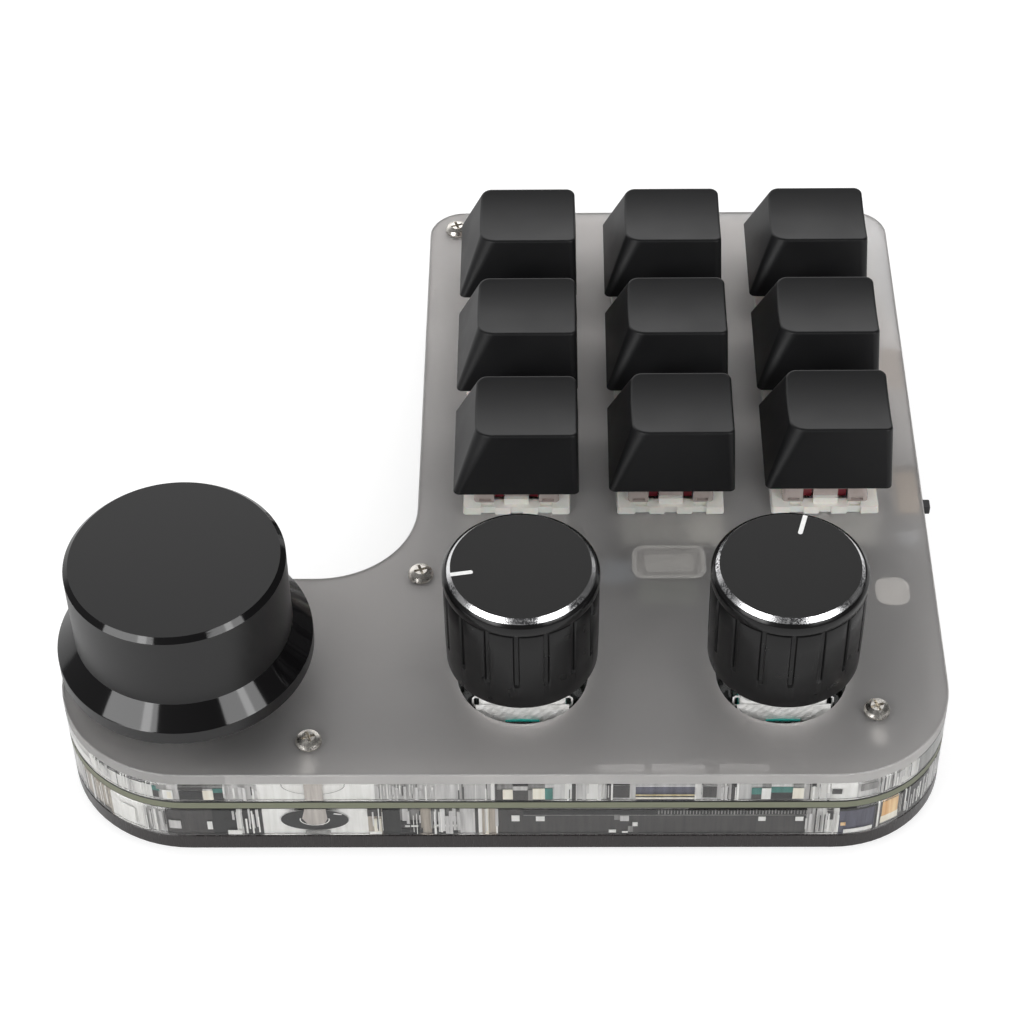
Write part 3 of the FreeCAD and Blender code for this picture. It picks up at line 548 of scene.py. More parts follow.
for tone, zone_pair, spacing, least, most, shortest, kept in streak_rounds:
    tree = sliver_tree("streaks_" + tone, tone_materials[tone])
    for label, zones, (low, high) in zip(("upper", "lower"), zone_pair, (upper_sheet, lower_sheet)):
        seed += 17
        mesh = grow(tree, edge_lines("edge_line", zones, streak_depth, low + streak_margin), {
            "Spacing": spacing * mm, "Least Width": least * mm, "Most Width": most * mm,
            "Sheet": (high - low - 2 * streak_margin) * mm, "Least Share": shortest,
            "Deepest": 0.12 * mm, "Kept": kept, "Seed": seed})
        own_piece("streaks_%s_%s" % (tone, label), mesh, "board")
comb_tree = sliver_tree("contact_comb", tone_materials["grey"])
comb_z = lower_low + 0.76 * (lower_high - lower_low)
comb = grow(comb_tree, edge_lines("comb_line", [(21.0, 41.0)], 0.3, comb_z), {
    "Spacing": 0.42 * mm, "Least Width": 0.1 * mm, "Most Width": 0.2 * mm, "Sheet": 0.9 * mm,
    "Least Share": 0.7, "Deepest": 0.01 * mm, "Kept": 1.0, "Seed": 2})
own_piece("contact_comb", comb, "board")


# Circuit board: glass-fibre board with dark solder mask on both faces, between the two clear sheets. Its
# routed edge shows the olive fibre, with a dark line of mask under it.
board_low, board_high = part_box("circuit_board")
add, surface = new_material("circuit_board")
split = add("SeparateXYZ", {"Vector": add("TexCoord").outputs["Object"]})
height = spread(add, split.outputs["Z"], 0.0, 1.0, board_low.z, board_high.z)
facing = add("SeparateXYZ", {"Vector": add("NewGeometry").outputs["Normal"]})
upright = maths(add, "LESS_THAN", maths(add, "ABSOLUTE", facing.outputs["Z"]), 0.3)
olive = maths(add, "MULTIPLY", upright, maths(add, "GREATER_THAN", height, 0.18))
fibre = noise(add, place(add, (0.5, 0.5, 8)), 1.3, 4.0)
traces = add("TexVoronoi", {"Vector": place(add), "Scale": 0.45}, distance="CHEBYCHEV")
track = maths(add, "LESS_THAN", traces.outputs["Distance"], 0.2)
dress(surface({
    "Base Color": two_tone(add, olive, two_tone(add, track, (0.010, 0.011, 0.010), (0.02, 0.022, 0.02)),
                           two_tone(add, fibre, (0.145, 0.158, 0.098), (0.24, 0.245, 0.18))),
    "Roughness": spread(add, fibre, 0.35, 0.6),
    "Normal": bump(add, fibre, 0.02, 0.4),
}), "circuit_board")


# Parts on the circuit board: moulded chips, small ceramic parts, lamps, sockets and contact fingers, all
# soldered down.
dress(plain_surface("chip_resin", (0.012, 0.012, 0.013), (0.025, 0.025, 0.028), 0.5), "chips")
dress(plain_surface("ceramic", (0.62, 0.56, 0.48), (0.85, 0.83, 0.80), 0.4, 0.0, 0.9), "small_parts")
dress(plain_surface("lamp_white", (0.82, 0.72, 0.55), (0.92, 0.86, 0.76), 0.35), "underglow_leds")
dress(plain_surface("gold_fingers", (0.75, 0.62, 0.40), (0.85, 0.76, 0.56), 0.3, 1.0), "pin_strip")
dress(plain_surface("socket_resin", (0.014, 0.014, 0.015), (0.03, 0.03, 0.03), 0.5), "hot_swap_sockets")


# Painted light in the top plate: what lies just under the frosted sheet shows as soft shapes of light,
# painted with the plate's
# light and shade on a thin film: pale near the cut edges, round the holes, over the pockets and towards the
# back, darker in front of the large knob as painted shade, and dark elsewhere.
keys = ["%d_%d" % (row, column) for row in (1, 2, 3) for column in (1, 2, 3)]


def middle_of(name):
    low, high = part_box(name)
    return (low + high) / 2 / mm


switch_middles = [middle_of("stem_" + key) for key in keys]
small_knob_middles = [middle_of("shaft_middle"), middle_of("shaft_right")]
screw_middles = [(-26.1, -52.9), (50.6, -47.6)]
outline_samples = 900
outline_tree = KDTree(outline_samples)
for index in range(outline_samples):
    point = along(edge_distances[0] + edge_length * index / outline_samples, 0)
    outline_tree.insert((point.x, point.y, 0), index)
outline_tree.balance()

# Painted light over the pockets, as a streak in front of each screw and a patch in front of each switch.
pocket_lights = [
    (18.9, 27.4, -27.8, -23.1, 1.2, 0.60, (0.10, 0.11, 0.09)),
    (13.7, 18.4, -23.7, -19.3, 1.0, 0.70, (0.12, 0.14, 0.16)),
    (56.7, 59.5, -16.6, -13.5, 0.8, 0.70, (0.12, 0.13, 0.14)),
    (26.7, 31.6, -16.2, -10.2, 1.0, 0.9, (0.16, 0.155, 0.14)),
]
for x, y in screw_middles:
    pocket_lights.append((x - 0.9, x + 0.9, y - 5.4, y - 2.4, 0.7, 0.8, (0.40, 0.39, 0.37)))
for middle in switch_middles:
    pocket_lights.append((middle.x - 7.2, middle.x + 7.2, middle.y - 12.8, middle.y - 7.6, 1.2, 1.3,
                          (0.30, 0.30, 0.28)))


def inside_share(x, y, x0, x1, y0, y1, radius, blur):
    """One well inside a rounded rectangle and zero well outside it."""
    dx = max(x0 + radius - x, x - x1 + radius)
    dy = max(y0 + radius - y, y - y1 + radius)
    gap = math.hypot(max(dx, 0), max(dy, 0)) + min(max(dx, dy), 0) - radius
    return 1 / (1 + math.exp(min(60.0, max(-60.0, gap / blur * 2.5))))


def smooth(share):
    share = min(1.0, max(0.0, share))
    return share * share * (3 - 2 * share)


switch_hole_half = 6.95
knob_hole_radius = 9


def light_under(x, y):
    """Painted light and shade of the film at a place under the plate."""
    edge_gap = outline_tree.find((x, y, 0))[2]
    # Painted light, brighter near the cut edges.
    level = 0.115 + 0.17 * math.exp(-edge_gap / 2.6) + 0.10 * math.exp(-edge_gap / 12)
    # Painted light growing towards the back, stronger on the right and weaker on the left.
    level += smooth((y + 24) / 70) * (0.62 + 0.12 * max(0.0, x / 60) ** 2 - 0.25 * smooth((2 - x) / 12))
    # Two painted pools of light.
    level += 0.32 * math.exp(-((x + 18) ** 2 + (y + 28) ** 2) / 260)
    level += 0.10 * math.exp(-((x - 20) ** 2 + (y + 35) ** 2) / 150)
    # Painted shade in front of the large knob.
    level -= 0.18 * math.exp(-((x + 34) ** 2 + (y + 54) ** 2) / 64)
    # Painted light round each switch hole.
    for middle in switch_middles:
        gap = max(abs(x - middle.x), abs(y - middle.y)) - switch_hole_half
        level += 0.34 * math.exp(-max(0.0, gap) / 0.9)
    # Painted light round each small knob's hole, spreading forward.
    for middle in small_knob_middles:
        reach = math.hypot(x - middle.x, y - middle.y)
        front_share = max(0.0, (middle.y - y) / max(reach, 0.1))
        gap = reach - knob_hole_radius
        level += 0.34 * math.exp(-max(0.0, gap) / 0.9) + 0.34 * front_share ** 4 * math.exp(-gap / 3.4)
    colour = [level, level * 0.975, level * 0.955]
    for *form, extra in pocket_lights:
        share = inside_share(x, y, *form)
        colour = [value + share * more for value, more in zip(colour, extra)]
    return [min(0.95, max(0.02, value)) for value in colour] + [1.0]


shape = bmesh.new()
shape.from_mesh(nodes["top_plate"].data)
bmesh.ops.remove_doubles(shape, verts=shape.verts, dist=0.001 * mm)
shape.normal_update()
plate_low, plate_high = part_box("top_plate")
others = [f for f in shape.faces if f.normal.z > -0.99 or f.calc_center_median().z > plate_low.z + 0.01 * mm]
bmesh.ops.delete(shape, geom=others, context="FACES")
longest_edge = 1.1
for _ in range(9):
    long_edges = [edge for edge in shape.edges if edge.calc_length() > longest_edge * mm]
    if not long_edges:
        break
    bmesh.ops.subdivide_edges(shape, edges=long_edges, cuts=1)
    bmesh.ops.triangulate(shape, faces=[face for face in shape.faces if len(face.verts) > 3])
film_depth = 0.5
film_z = plate_high.z / mm - film_depth
bmesh.ops.translate(shape, verts=shape.verts, vec=Vector((0, 0, film_z * mm - plate_low.z)))
bmesh.ops.reverse_faces(shape, faces=shape.faces)
film = bpy.data.meshes.new("plate_film")
shape.to_mesh(film)
shape.free()
film_light = film.color_attributes.new("light", "FLOAT_COLOR", "POINT")
for index, vertex in enumerate(film.vertices):
    film_light.data[index].color = light_under(vertex.co.x / mm, vertex.co.y / mm)
add, surface = new_material("plate_film")
grain = noise(add, place(add), 0.8, 3.0)
painted = add("VertexColor", layer_name="light").outputs["Color"]
softened = add("HueSaturation", {"Color": painted, "Value": grained(add, grain, 0.94, 1.06)})
own_piece("plate_film", film, "board", surface({"Base Color": softened.outputs["Color"], "Roughness": 0.6}))


def light_patch(name, x0, x1, y0, y1, radius, rise, colour):
    """Flat rounded patch of light a little above the film."""
    ring = []
    for x, y, start in ((x1, y1, 0), (x0, y1, 90), (x0, y0, 180), (x1, y0, 270)):
        corner_x = x + radius * (1 if x == x0 else -1)
        corner_y = y + radius * (1 if y == y0 else -1)
        for index in range(7):
            turn = math.radians(start + index * 15)
            ring.append((corner_x + radius * math.cos(turn), corner_y + radius * math.sin(turn),
                         film_z + rise))
    darker = tuple(value * 0.9 for value in colour)
    own_piece(name, slab(name, ring, (0, 0, 0.02)), "board",
              plain_surface(name, darker, colour, 0.6, scale=0.7))


light_patch("pocket_rim_light", 18.1, 28.7, -22.8, -16.3, 1.9, 0.02, (0.70, 0.69, 0.66))
light_patch("pocket_floor_light", 18.8, 28.0, -22.1, -16.9, 1.3, 0.06, (0.48, 0.47, 0.45))
light_patch("pocket_bar_light", 19.9, 26.9, -21.5, -18.2, 0.7, 0.10, (0.66, 0.65, 0.62))
light_patch("square_pocket_light", 52.4, 57.2, -28.0, -22.7, 1.8, 0.02, (0.68, 0.66, 0.63))
light_patch("usb_light", 57.0, 60.4, 16.3, 25.4, 0.6, 0.02, (0.76, 0.70, 0.65))
light_patch("slide_light", 56.4, 60.4, -10.6, -0.2, 0.6, 0.02, (0.42, 0.39, 0.36))
light_patch("slide_inner_light", 57.2, 60.2, -10.0, -1.6, 0.6, 0.06, (0.56, 0.49, 0.42))
for index, (x0, x1) in enumerate(((12.7, 19.0), (19.9, 27.0), (28.9, 35.6))):
    light_patch("front_light_%d" % (index + 1), x0, x1, -58.45, -56.5, 0.3, 0.02, (0.50, 0.49, 0.48))


# Top plate: grey acrylic, frosted on its face. Light spreads to its cut edge, which is painted paler than its
# face as painted light, and a painted band of light stands just inside it, dimmer along the lobe.
add, surface = new_material("frosted_acrylic")
cloud = noise(add, place(add), 0.05, 3.0)
grain = noise(add, place(add), 9.0, 2.0)
facing = add("SeparateXYZ", {"Vector": add("NewGeometry").outputs["Normal"]})
# The cut edge gets a paler colour: painted light.
rim = maths(add, "LESS_THAN", maths(add, "ABSOLUTE", facing.outputs["Z"]), 0.9)
dress(surface({
    "Base Color": two_tone(add, rim, two_tone(add, cloud, (0.84, 0.825, 0.82), (0.88, 0.865, 0.86)),
                           (0.94, 0.93, 0.92)),
    "Roughness": grained(add, grain, 0.42, 0.5),
    "Normal": bump(add, grain, 0.004, 0.6),
    "IOR": 1.49,
    "Transmission Weight": 0.9,
}), "top_plate")
lobe_start = -85
lobe_end = -37
# Painted bands of light just inside the cut edge, dimmer along the lobe.
for name, start, end, first, second in (
        ("plate_edge_light", lobe_end, edge_length + lobe_start, (0.36, 0.355, 0.35), (0.50, 0.49, 0.48)),
        ("lobe_edge_light", lobe_start, lobe_end, (0.25, 0.245, 0.24), (0.36, 0.355, 0.35))):
    band = plain_surface(name, first, second, 0.5, scale=0.06, stretch=(1, 1, 0.1))
    panels(name, plate_low.z / mm, plate_high.z / mm, 0.08, [(start, end)], band)


# Screws and standoffs: turned posts through the whole stack, with a nickel-plated pan-head cross screw in
# each end.
nickel = plain_surface("nickel", (0.76, 0.72, 0.66), (0.93, 0.90, 0.85), 0.27, 1.0, 3.0, 0.012)
dress(nickel, "standoffs", "top_screws", "bottom_screws")


# Feet: five discs of moulded black rubber with a dull skin, stuck under the base plate. One stands under
# the large knob, so that the lobe doesn't tip when the knob is pressed.
dress(plain_surface("rubber", (0.010, 0.010, 0.010), (0.022, 0.021, 0.020), 0.8, 0.0, 1.5, 0.03), "feet")


# Key switches: ivory lower housings clipped into the plate, smoky see-through upper housings on them, dark
# red sliders that show in the two front slots, and a coil spring of steel wire under each slider.
add, surface = new_material("ivory_plastic")
grain = noise(add, place(add), 1.6, 3.0)
dress(surface({
    "Base Color": two_tone(add, grain, (0.84, 0.82, 0.76), (0.92, 0.905, 0.855)),
    "Roughness": grained(add, grain, 0.32, 0.48),
    "Normal": bump(add, grain, 0.01, 0.4),
    "Subsurface Weight": 0.2,
    "Subsurface Scale": 0.0008,
}), "switch_bottom_housings")

add, surface = new_material("smoky_plastic")
grain = noise(add, place(add), 0.8, 3.0)
dress(surface({
    "Base Color": two_tone(add, grain, (0.76, 0.66, 0.62), (0.90, 0.81, 0.77)),
    "Roughness": grained(add, grain, 0.12, 0.26),
    "Normal": bump(add, grain, 0.02, 0.3),
    "Transmission Weight": 0.55,
    "IOR": 1.5,
}), "switch_top_housings")

stem_red = plain_surface("stem_red", (0.22, 0.022, 0.035), (0.30, 0.035, 0.05), 0.35)
spring_steel = plain_surface("spring_steel", (0.55, 0.55, 0.56), (0.72, 0.72, 0.72), 0.25, 1.0)


def tube_mesh(name, points, radius):
    """Round wire through the points, in millimetres."""
    curve = bpy.data.curves.new(name, "CURVE")
    curve.dimensions = "3D"
    curve.bevel_depth = radius * mm
    curve.bevel_resolution = 2
    curve.use_fill_caps = True
    spline = curve.splines.new("POLY")
    spline.points.add(len(points) - 1)
    for target, point in zip(spline.points, points):
        target.co = (*(Vector(point) * mm), 1)
    return baked(put(name, curve))


spring_wire = 0.18
spring_turns = 11
spring_steps = 220
for key in keys:
    dress(stem_red, "stem_" + key)
    spring_low, spring_high = (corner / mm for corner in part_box("spring_" + key))
    centre = (spring_low + spring_high) / 2
    reach = (spring_high.x - spring_low.x) / 2 - spring_wire
    rise = spring_high.z - spring_low.z - 2 * spring_wire
    turns = [2 * math.pi * spring_turns * index / spring_steps for index in range(spring_steps + 1)]
    helix = [(centre.x + reach * math.cos(a), centre.y + reach * math.sin(a),
              spring_low.z + spring_wire + rise * a / turns[-1]) for a in turns]
    coil = tube_mesh("coil_" + key, helix, spring_wire)
    spring = own_piece("coil_" + key, coil, "key_" + key, spring_steel)
    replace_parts(spring, "spring_" + key)
    height = spring_high.z - spring_low.z
    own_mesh(spring)


# Keycaps: thick matte black caps, each with a steep right side and a long sloping left side. The mould
# leaves a fine even grain, and the dished top takes a soft sheen.
add, surface = new_material("keycap_black")
skin = noise(add, place(add), 6.5, 2.0, 0.6)
worn = noise(add, place(add), 0.12, 3.0)
keycap_black = surface({
    "Base Color": two_tone(add, worn, (0.0040, 0.0040, 0.0046), (0.0062, 0.0062, 0.0070)),
    "Roughness": grained(add, worn, 0.40, 0.48),
    "Normal": bump(add, skin, 0.012, 0.5),
    "IOR": 1.5,
    "Specular IOR Level": 0.38,
})
for key in keys:
    dress(keycap_black, "keycap_" + key)


# Encoders: a teal moulded base with a thin front lip, and a folded tin-plated case with a crumpled front,
# with
# a painted glint on each side: a thin bright bent wire in the knob hole. Inside are a threaded bushing, a
# push disc and a turning shaft.
teal_plastic = plain_surface("teal_plastic", (0.02, 0.52, 0.44), (0.06, 0.66, 0.58), 0.4)
dress(teal_plastic, "encoder_bases")
# The tin is painted near white and almost non-metallic, as painted brightness for its reflections in the
# knob's shade; its crumpled tones follow the bump.
add, surface = new_material("tinned_steel")
crumple = noise(add, place(add), 0.9, 4.0, 0.65)
tinned_steel = surface({
    "Base Color": two_tone(add, grained(add, crumple, 0.0, 1.0), (0.84, 0.83, 0.80), (0.99, 0.985, 0.97)),
    "Roughness": grained(add, crumple, 0.35, 0.6),
    "Normal": bump(add, crumple, 0.25, 0.6),
    "Metallic": 0.05,
})
dress(tinned_steel, "encoder_cases")
shaft_metal = plain_surface("shaft_metal", (0.55, 0.55, 0.55), (0.7, 0.7, 0.7), 0.3, 1.0)
for where in ("large", "middle", "right"):
    dress(shaft_metal, "plunger_" + where, "shaft_" + where)

case_front = 5.9
lip_half_width = 6.35
lip_low = 14.9
lip_high = 18.45
lip_columns = 26
lip_rows = 10
glint_reach = 6.75
painted_glint = plain_surface("painted_glint", (0.85, 0.84, 0.82), (0.97, 0.96, 0.95), 0.4)
for where, middle in zip(("middle", "right"), small_knob_middles):
    shape = bmesh.new()
    front = []
    for row in range(lip_rows + 1):
        z = lip_low + (lip_high - lip_low) * row / lip_rows
        line = []
        for column in range(lip_columns + 1):
            x = -lip_half_width + 2 * lip_half_width * column / lip_columns
            wave = 0.05 * math.sin(x * 2.3 + row) + 0.04 * math.sin(x * 5.1 - row * 1.7)
            y = -case_front - 0.2 - wave
            line.append(shape.verts.new(((middle.x + x) * mm, (middle.y + y) * mm, z * mm)))
        front.append(line)
    for lower, upper in zip(front, front[1:]):
        for column in range(lip_columns):
            shape.faces.new((lower[column], lower[column + 1], upper[column + 1], upper[column]))
    thicken(shape, shape.faces[:], (0, 0.08 * mm, 0))
    own_piece("case_lip_" + where, mesh_of(shape, "case_lip_" + where), "board", tinned_steel)
    rim = [(-2.4, 15.0), (2.4, 15.0), (2.3, 15.50), (1.2, 15.60), (0, 15.64), (-1.2, 15.60), (-2.3, 15.50)]
    y = middle.y - case_front - 0.55
    foot = slab("base_lip_" + where, [(middle.x + x, y, z) for x, z in rim], (0, 0.2, 0))
    own_piece("base_lip_" + where, foot, "board", teal_plastic)
    # A painted glint on each side, drawn as a thin bright bent wire.
    for side, label in ((-1, "left"), (1, "right")):
        x = middle.x + side * glint_reach
        y = middle.y - 4.6
        bend = [(x - side * 0.85, y, 18.3), (x - side * 0.3, y, 18.4), (x, y, 18.05), (x, y, 17.0),
                (x - side * 0.15, y, 16.55), (x - side * 0.85, y, 16.45)]
        wire = tube_mesh("case_ear_%s_%s" % (where, label), bend, 0.14)
        own_piece("case_ear_%s_%s" % (where, label), wire, "board", painted_glint)


# Large knob: one piece of turned aluminium, black anodised. Its top and wall are satin, and the cut edge
# round the top and the flared skirt are turned again to a black mirror.
def from_axis(add, centre):
    """Distance from an upright axis and height, in millimetres."""
    here = add("TexCoord").outputs["Object"]
    shifted = add("VectorMath", {0: here, 1: (centre.x, centre.y, 0)}, operation="SUBTRACT")
    scaled = add("VectorMath", {0: shifted.outputs["Vector"], "Scale": 1 / mm}, operation="SCALE")
    split = add("SeparateXYZ", {"Vector": scaled.outputs["Vector"]})
    flat = add("CombineXYZ", {"X": split.outputs["X"], "Y": split.outputs["Y"]})
    length = add("VectorMath", {0: flat.outputs["Vector"]}, operation="LENGTH")
    return length.outputs["Value"], split.outputs["Z"]


def within(add, value, low, high):
    """One where low < value < high, and zero elsewhere."""
    over = maths(add, "GREATER_THAN", value, low)
    return maths(add, "MULTIPLY", over, maths(add, "LESS_THAN", value, high))


knob_low, knob_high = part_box("knob_large")
top = knob_high.z / mm
base = knob_low.z / mm
add, surface = new_material("black_anodised")
radius, height = from_axis(add, (knob_low + knob_high) / 2)
edge = within(add, height, top - 0.72, top - 0.02)
cone = within(add, height, base + 2.32, base + 5.18)
polished = maths(add, "MAXIMUM", edge, cone)
rings = add("TexNoise", {"W": radius, "Scale": 7.0, "Detail": 3.0}, noise_dimensions="1D").outputs["Fac"]
blast = noise(add, place(add), 7.0, 2.0)
dress(surface({
    "Base Color": two_tone(add, blast, (0.0032, 0.0030, 0.0033), (0.0052, 0.0049, 0.0053)),
    "Roughness": blend(add, polished, grained(add, blast, 0.32, 0.38), 0.07),
    "Normal": bump(add, blend(add, polished, blast, rings), 0.006, 0.35),
    "IOR": 1.55,
    "Specular IOR Level": 0.46,
}), "knob_large")


# Small knobs: a moulded grip with a glossy collar over upright grooves, and a black anodised disc with a
# bright cut rim pressed into its top. The pointer is a milled slot filled with white paint.
collar_height = 2.1
add, surface = new_material("grip_black")
skin = noise(add, place(add), 5.0, 3.0)
worn = noise(add, place(add), 0.3, 3.0)
grip_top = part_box("grip_middle")[1].z
split = add("SeparateXYZ", {"Vector": add("TexCoord").outputs["Object"]})
collar = maths(add, "GREATER_THAN", split.outputs["Z"], grip_top - collar_height * mm)
grip_black = surface({
    "Base Color": two_tone(add, worn, (0.0042, 0.0040, 0.0042), (0.0075, 0.0072, 0.0075)),
    "Roughness": blend(add, collar, grained(add, worn, 0.26, 0.38), 0.2),
    "Normal": bump(add, skin, 0.006, 0.4),
    "Specular IOR Level": 0.36,
})

grip_angles = {"middle": 19.05, "right": 0.0}
groove_count = 16
groove_cut = [(-11.25, 0), (-7.0, 0), (-3.4, 0), (-2.4, 0.03), (-1.9, 0.14), (-1.5, 0.40), (0, 0.44),
              (1.5, 0.40), (1.9, 0.14), (2.4, 0.03), (3.4, 0), (7.0, 0)]
grip_profile = [
    (3.2, 38.2, 0), (9.98, 38.2, 0), (9.98, 39.04, 0), (10.06, 39.10, 0), (10.36, 38.74, 0),
    (10.44, 38.58, 0), (10.48, 38.40, 0), (10.49, 37.40, 0), (10.46, 37.27, 0), (10.38, 37.20, 0),
    (10.02, 37.16, 0), (9.98, 36.98, 0), (10.18, 36.92, 1), (10.33, 36.84, 1), (10.40, 36.70, 1),
    (10.41, 34.0, 1), (10.40, 30.5, 1), (10.38, 27.5, 1), (10.37, 27.15, 0.8), (10.37, 26.9, 0),
    (10.34, 25.0, 0), (10.30, 22.95, 0), (10.25, 22.75, 0), (10.12, 22.63, 0), (9.9, 22.6, 0),
    (8.8, 22.6, 0), (8.8, 29.6, 0), (3.2, 29.6, 0),
]
for (where, angle), middle in zip(grip_angles.items(), small_knob_middles):
    shape = bmesh.new()
    rings = []
    for radius, z, share in grip_profile:
        ring = []
        for groove in range(groove_count):
            for offset, depth in groove_cut:
                turn = math.radians(angle + groove * 360 / groove_count + offset)
                reach = radius - depth * share
                ring.append(shape.verts.new(((middle.x + reach * math.cos(turn)) * mm,
                                             (middle.y + reach * math.sin(turn)) * mm, z * mm)))
        rings.append(ring)
    for here, there in zip(rings, rings[1:] + rings[:1]):
        for index in range(len(here)):
            face = shape.faces.new((here[index - 1], here[index], there[index], there[index - 1]))
            face.smooth = True
    mesh = mesh_of(shape, "grip_form_" + where)
    mesh.set_sharp_from_angle(angle=math.radians(32))
    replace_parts(own_piece("grip_form_" + where, mesh, "turn_" + where, grip_black), "grip_" + where)

pointers = {"middle": (189.6, 6.4), "right": (74.5, 5.8)}
pointer_half_width = 0.31
disc_chamfer = 0.6
white_paint = plain_surface("white_paint", (0.80, 0.80, 0.79), (0.90, 0.90, 0.89), 0.5)
for where, (angle, inner) in pointers.items():
    disc_low, disc_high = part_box("cap_" + where)
    centre = (disc_low + disc_high) / 2
    disc_radius = (disc_high.x - disc_low.x) / 2 / mm
    top = disc_high.z / mm
    add, surface = new_material("cap_disc_" + where)
    radius, height = from_axis(add, centre)
    cut = maths(add, "MULTIPLY", within(add, height, top - disc_chamfer - 0.01, top - 0.015),
                maths(add, "GREATER_THAN", radius, disc_radius - disc_chamfer - 0.05))
    blast = noise(add, place(add), 7.0, 2.0)
    chatter = noise(add, place(add), 2.6, 5.0, 0.75)
    patchy = noise(add, place(add), 0.16, 2.0)
    # The cut rim's bright and dark patches are chatter marks with painted sparkle.
    chatter_and_sparkle = maths(add, "MAXIMUM", spread(add, chatter, 0.0, 1.0, 0.44, 0.56),
                  spread(add, patchy, 0.0, 1.0, 0.42, 0.5))
    black_face = two_tone(add, blast, (0.0036, 0.0034, 0.0035), (0.0060, 0.0056, 0.0058))
    bright_cut = two_tone(add, chatter_and_sparkle, (0.16, 0.16, 0.17), (0.97, 0.97, 0.98))
    dress(surface({
        "Base Color": two_tone(add, cut, black_face, bright_cut),
        "Roughness": blend(add, cut, grained(add, blast, 0.36, 0.42), 0.24),
        "Normal": bump(add, blend(add, cut, blast, chatter), 0.02, 0.5),
        "Metallic": cut,
        "Specular IOR Level": 0.36,
    }), "cap_" + where)

    outer = disc_radius - disc_chamfer + 0.06
    ring = []
    for index in range(19):
        turn = math.radians(90 + index * 10)
        ring.append((inner + pointer_half_width * (1 + math.cos(turn)), pointer_half_width * math.sin(turn)))
    ring += [(outer, -pointer_half_width), (outer, pointer_half_width)]
    line = slab("pointer_" + where, [(x, y, 0) for x, y in ring], (0, 0, -0.1))
    line.transform(Matrix.Translation((centre.x, centre.y, disc_high.z + 0.012 * mm))
                   @ Matrix.Rotation(math.radians(angle), 4, "Z"))
    own_piece("pointer_" + where, line, "turn_" + where, white_paint)


# Charging socket and slide switch at the right edge: a drawn steel shell round a black moulded tongue, and
# a stamped steel case with a black nub. Both are soldered to the circuit board.
dress(plain_surface("usb_steel", (0.66, 0.62, 0.58), (0.80, 0.77, 0.73), 0.45, 0.6), "usb_shell")
dress(plain_surface("insert_resin", (0.012, 0.012, 0.012), (0.02, 0.02, 0.02), 0.45), "usb_insert")
dress(plain_surface("switch_steel", (0.66, 0.60, 0.55), (0.80, 0.75, 0.70), 0.5, 0.4), "power_switch_body")
dress(plain_surface("nub_resin", (0.014, 0.014, 0.015), (0.026, 0.026, 0.027), 0.45), "power_switch_slider")


# Floor: a plain pale sheet that the keypad stands on. It takes the keypad's soft shadow, and is white where
# the camera sees it.
add, surface = new_material("floor_white")
path = add("LightPath")
seen = maths(add, "ADD", path.outputs["Is Camera Ray"], path.outputs["Is Transmission Ray"], True)
mirrored = maths(add, "MULTIPLY", path.outputs["Is Glossy Ray"], 0.3)
floor_grain = noise(add, place(add), 0.02, 2.0)
floor_white = surface({
    "Base Color": two_tone(add, floor_grain, (0.49, 0.49, 0.49), (0.51, 0.51, 0.51)),
    "Roughness": 0.9,
    "Emission Color": (1.0, 1.0, 1.0),
    "Emission Strength": maths(add, "ADD", maths(add, "MULTIPLY", seen, 0.66), mirrored),
})
floor_reach = 3.0
floor_mesh = bpy.data.meshes.new("floor")
floor_corners = [(x * floor_reach, y * floor_reach, 0) for x, y in ((-1, -1), (1, -1), (1, 1), (-1, 1))]
floor_mesh.from_pydata(floor_corners, [], [(0, 1, 2, 3)])
floor_mesh.materials.append(floor_white)
floor = put("floor", floor_mesh)


# Lights: a soft box on each side of the camera, each with a brighter strip, and a wide one behind, in a
# white room that is dark in front and overhead.
def soft_box(name, azimuth, elevation, distance, width, height, radiance):
    """Area light aimed at the middle of the object. Azimuth 0 is in front, and 90 is on the right."""
    lamp = bpy.data.lights.new(name, "AREA")
    lamp.shape = "RECTANGLE"
    lamp.size = width
    lamp.size_y = height
    lamp.energy = radiance * math.pi * width * height
    made = put(name, lamp)
    turn, rise = math.radians(azimuth), math.radians(elevation)
    away = Vector((math.sin(turn) * math.cos(rise), -math.cos(turn) * math.cos(rise), math.sin(rise)))
    made.location = away * distance
    made.rotation_euler = away.to_track_quat("Z", "Y").to_euler()


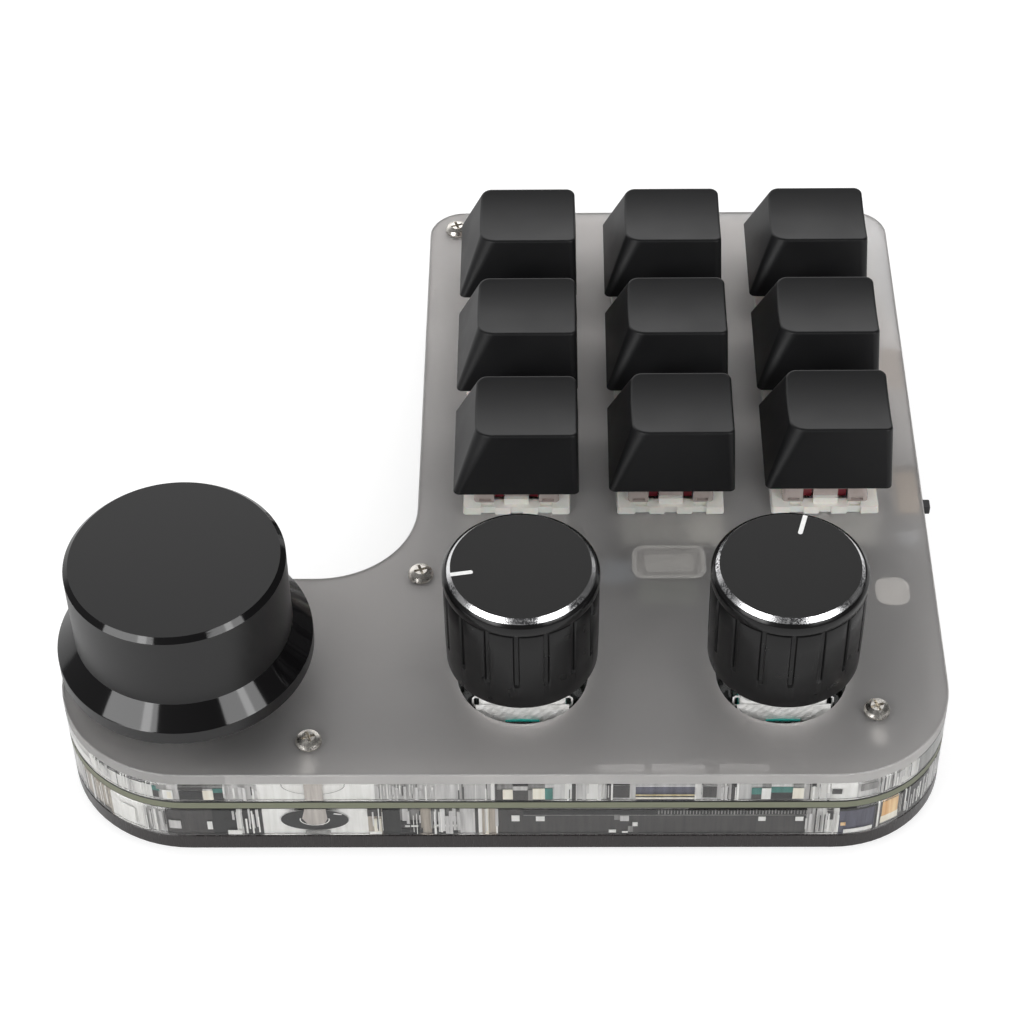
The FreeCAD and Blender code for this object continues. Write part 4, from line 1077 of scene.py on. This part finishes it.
soft_box("left_box", -45, 30, 0.7, 0.44, 0.28, 4.3)
soft_box("left_strip", -32.5, 31, 0.69, 0.07, 0.28, 3.2)
soft_box("right_box", 45.5, 33, 0.7, 0.37, 0.26, 3.9)
soft_box("right_strip", 48.5, 33, 0.69, 0.07, 0.26, 3.2)
soft_box("back_box", 180, 31, 0.9, 0.9, 0.36, 0.9)

world = bpy.data.worlds.new("room")
world.use_nodes = True
bpy.context.scene.world = world
room, feed_room = node_maker(world.node_tree, "ShaderNode")


def eased(value, low, high, from_low, from_high):
    """value carried from one range to another, with soft ends."""
    ranged = room("MapRange", {"Value": value, "From Min": from_low, "From Max": from_high,
                               "To Min": low, "To Max": high}, interpolation_type="SMOOTHSTEP")
    return ranged.outputs["Result"]


towards = room("SeparateXYZ", {"Vector": room("TexCoord").outputs["Generated"]})
behind = eased(towards.outputs["Y"], 0.0, 1.0, 0.35, 0.72)
below = eased(towards.outputs["Z"], 1.0, 0.08, 0.66, 0.86)
left_front = spread(room, towards.outputs["X"], 0.17, 0.07, -0.4, 0.6)
left_of_side = eased(towards.outputs["X"], 0.95, 0.0, 0.3, 0.6)
behind = maths(room, "MULTIPLY", behind, left_of_side)
mirrored = maths(room, "ADD", left_front, maths(room, "MULTIPLY", behind, below))
diffused = spread(room, towards.outputs["Y"], 0.55, 0.85, -0.6, 0.6)
path = room("LightPath")
seen = maths(room, "ADD", path.outputs["Is Camera Ray"], path.outputs["Is Transmission Ray"], True)
unseen = blend(room, path.outputs["Is Glossy Ray"], diffused, mirrored)
feed_room(world.node_tree.nodes["Background"], {
    "Strength": blend(room, seen, unseen, 1.0),
    "Color": (1.0, 1.0, 1.0),
})


# Camera: placed as the photograph was taken, from in front and about 46 degrees above, with a long lens.
camera = put("camera", bpy.data.cameras.new("camera"))
camera.data.sensor_width = 36.0
camera.data.lens = 93.34
camera.data.clip_start = 0.01
camera.location = Vector((6.99, -279.6, 294.87)) * mm
camera.rotation_euler = Euler([math.radians(a) for a in (44.252, 0.775, 0.504)])
bpy.context.scene.camera = camera
bpy.context.scene.view_settings.view_transform = "Standard"
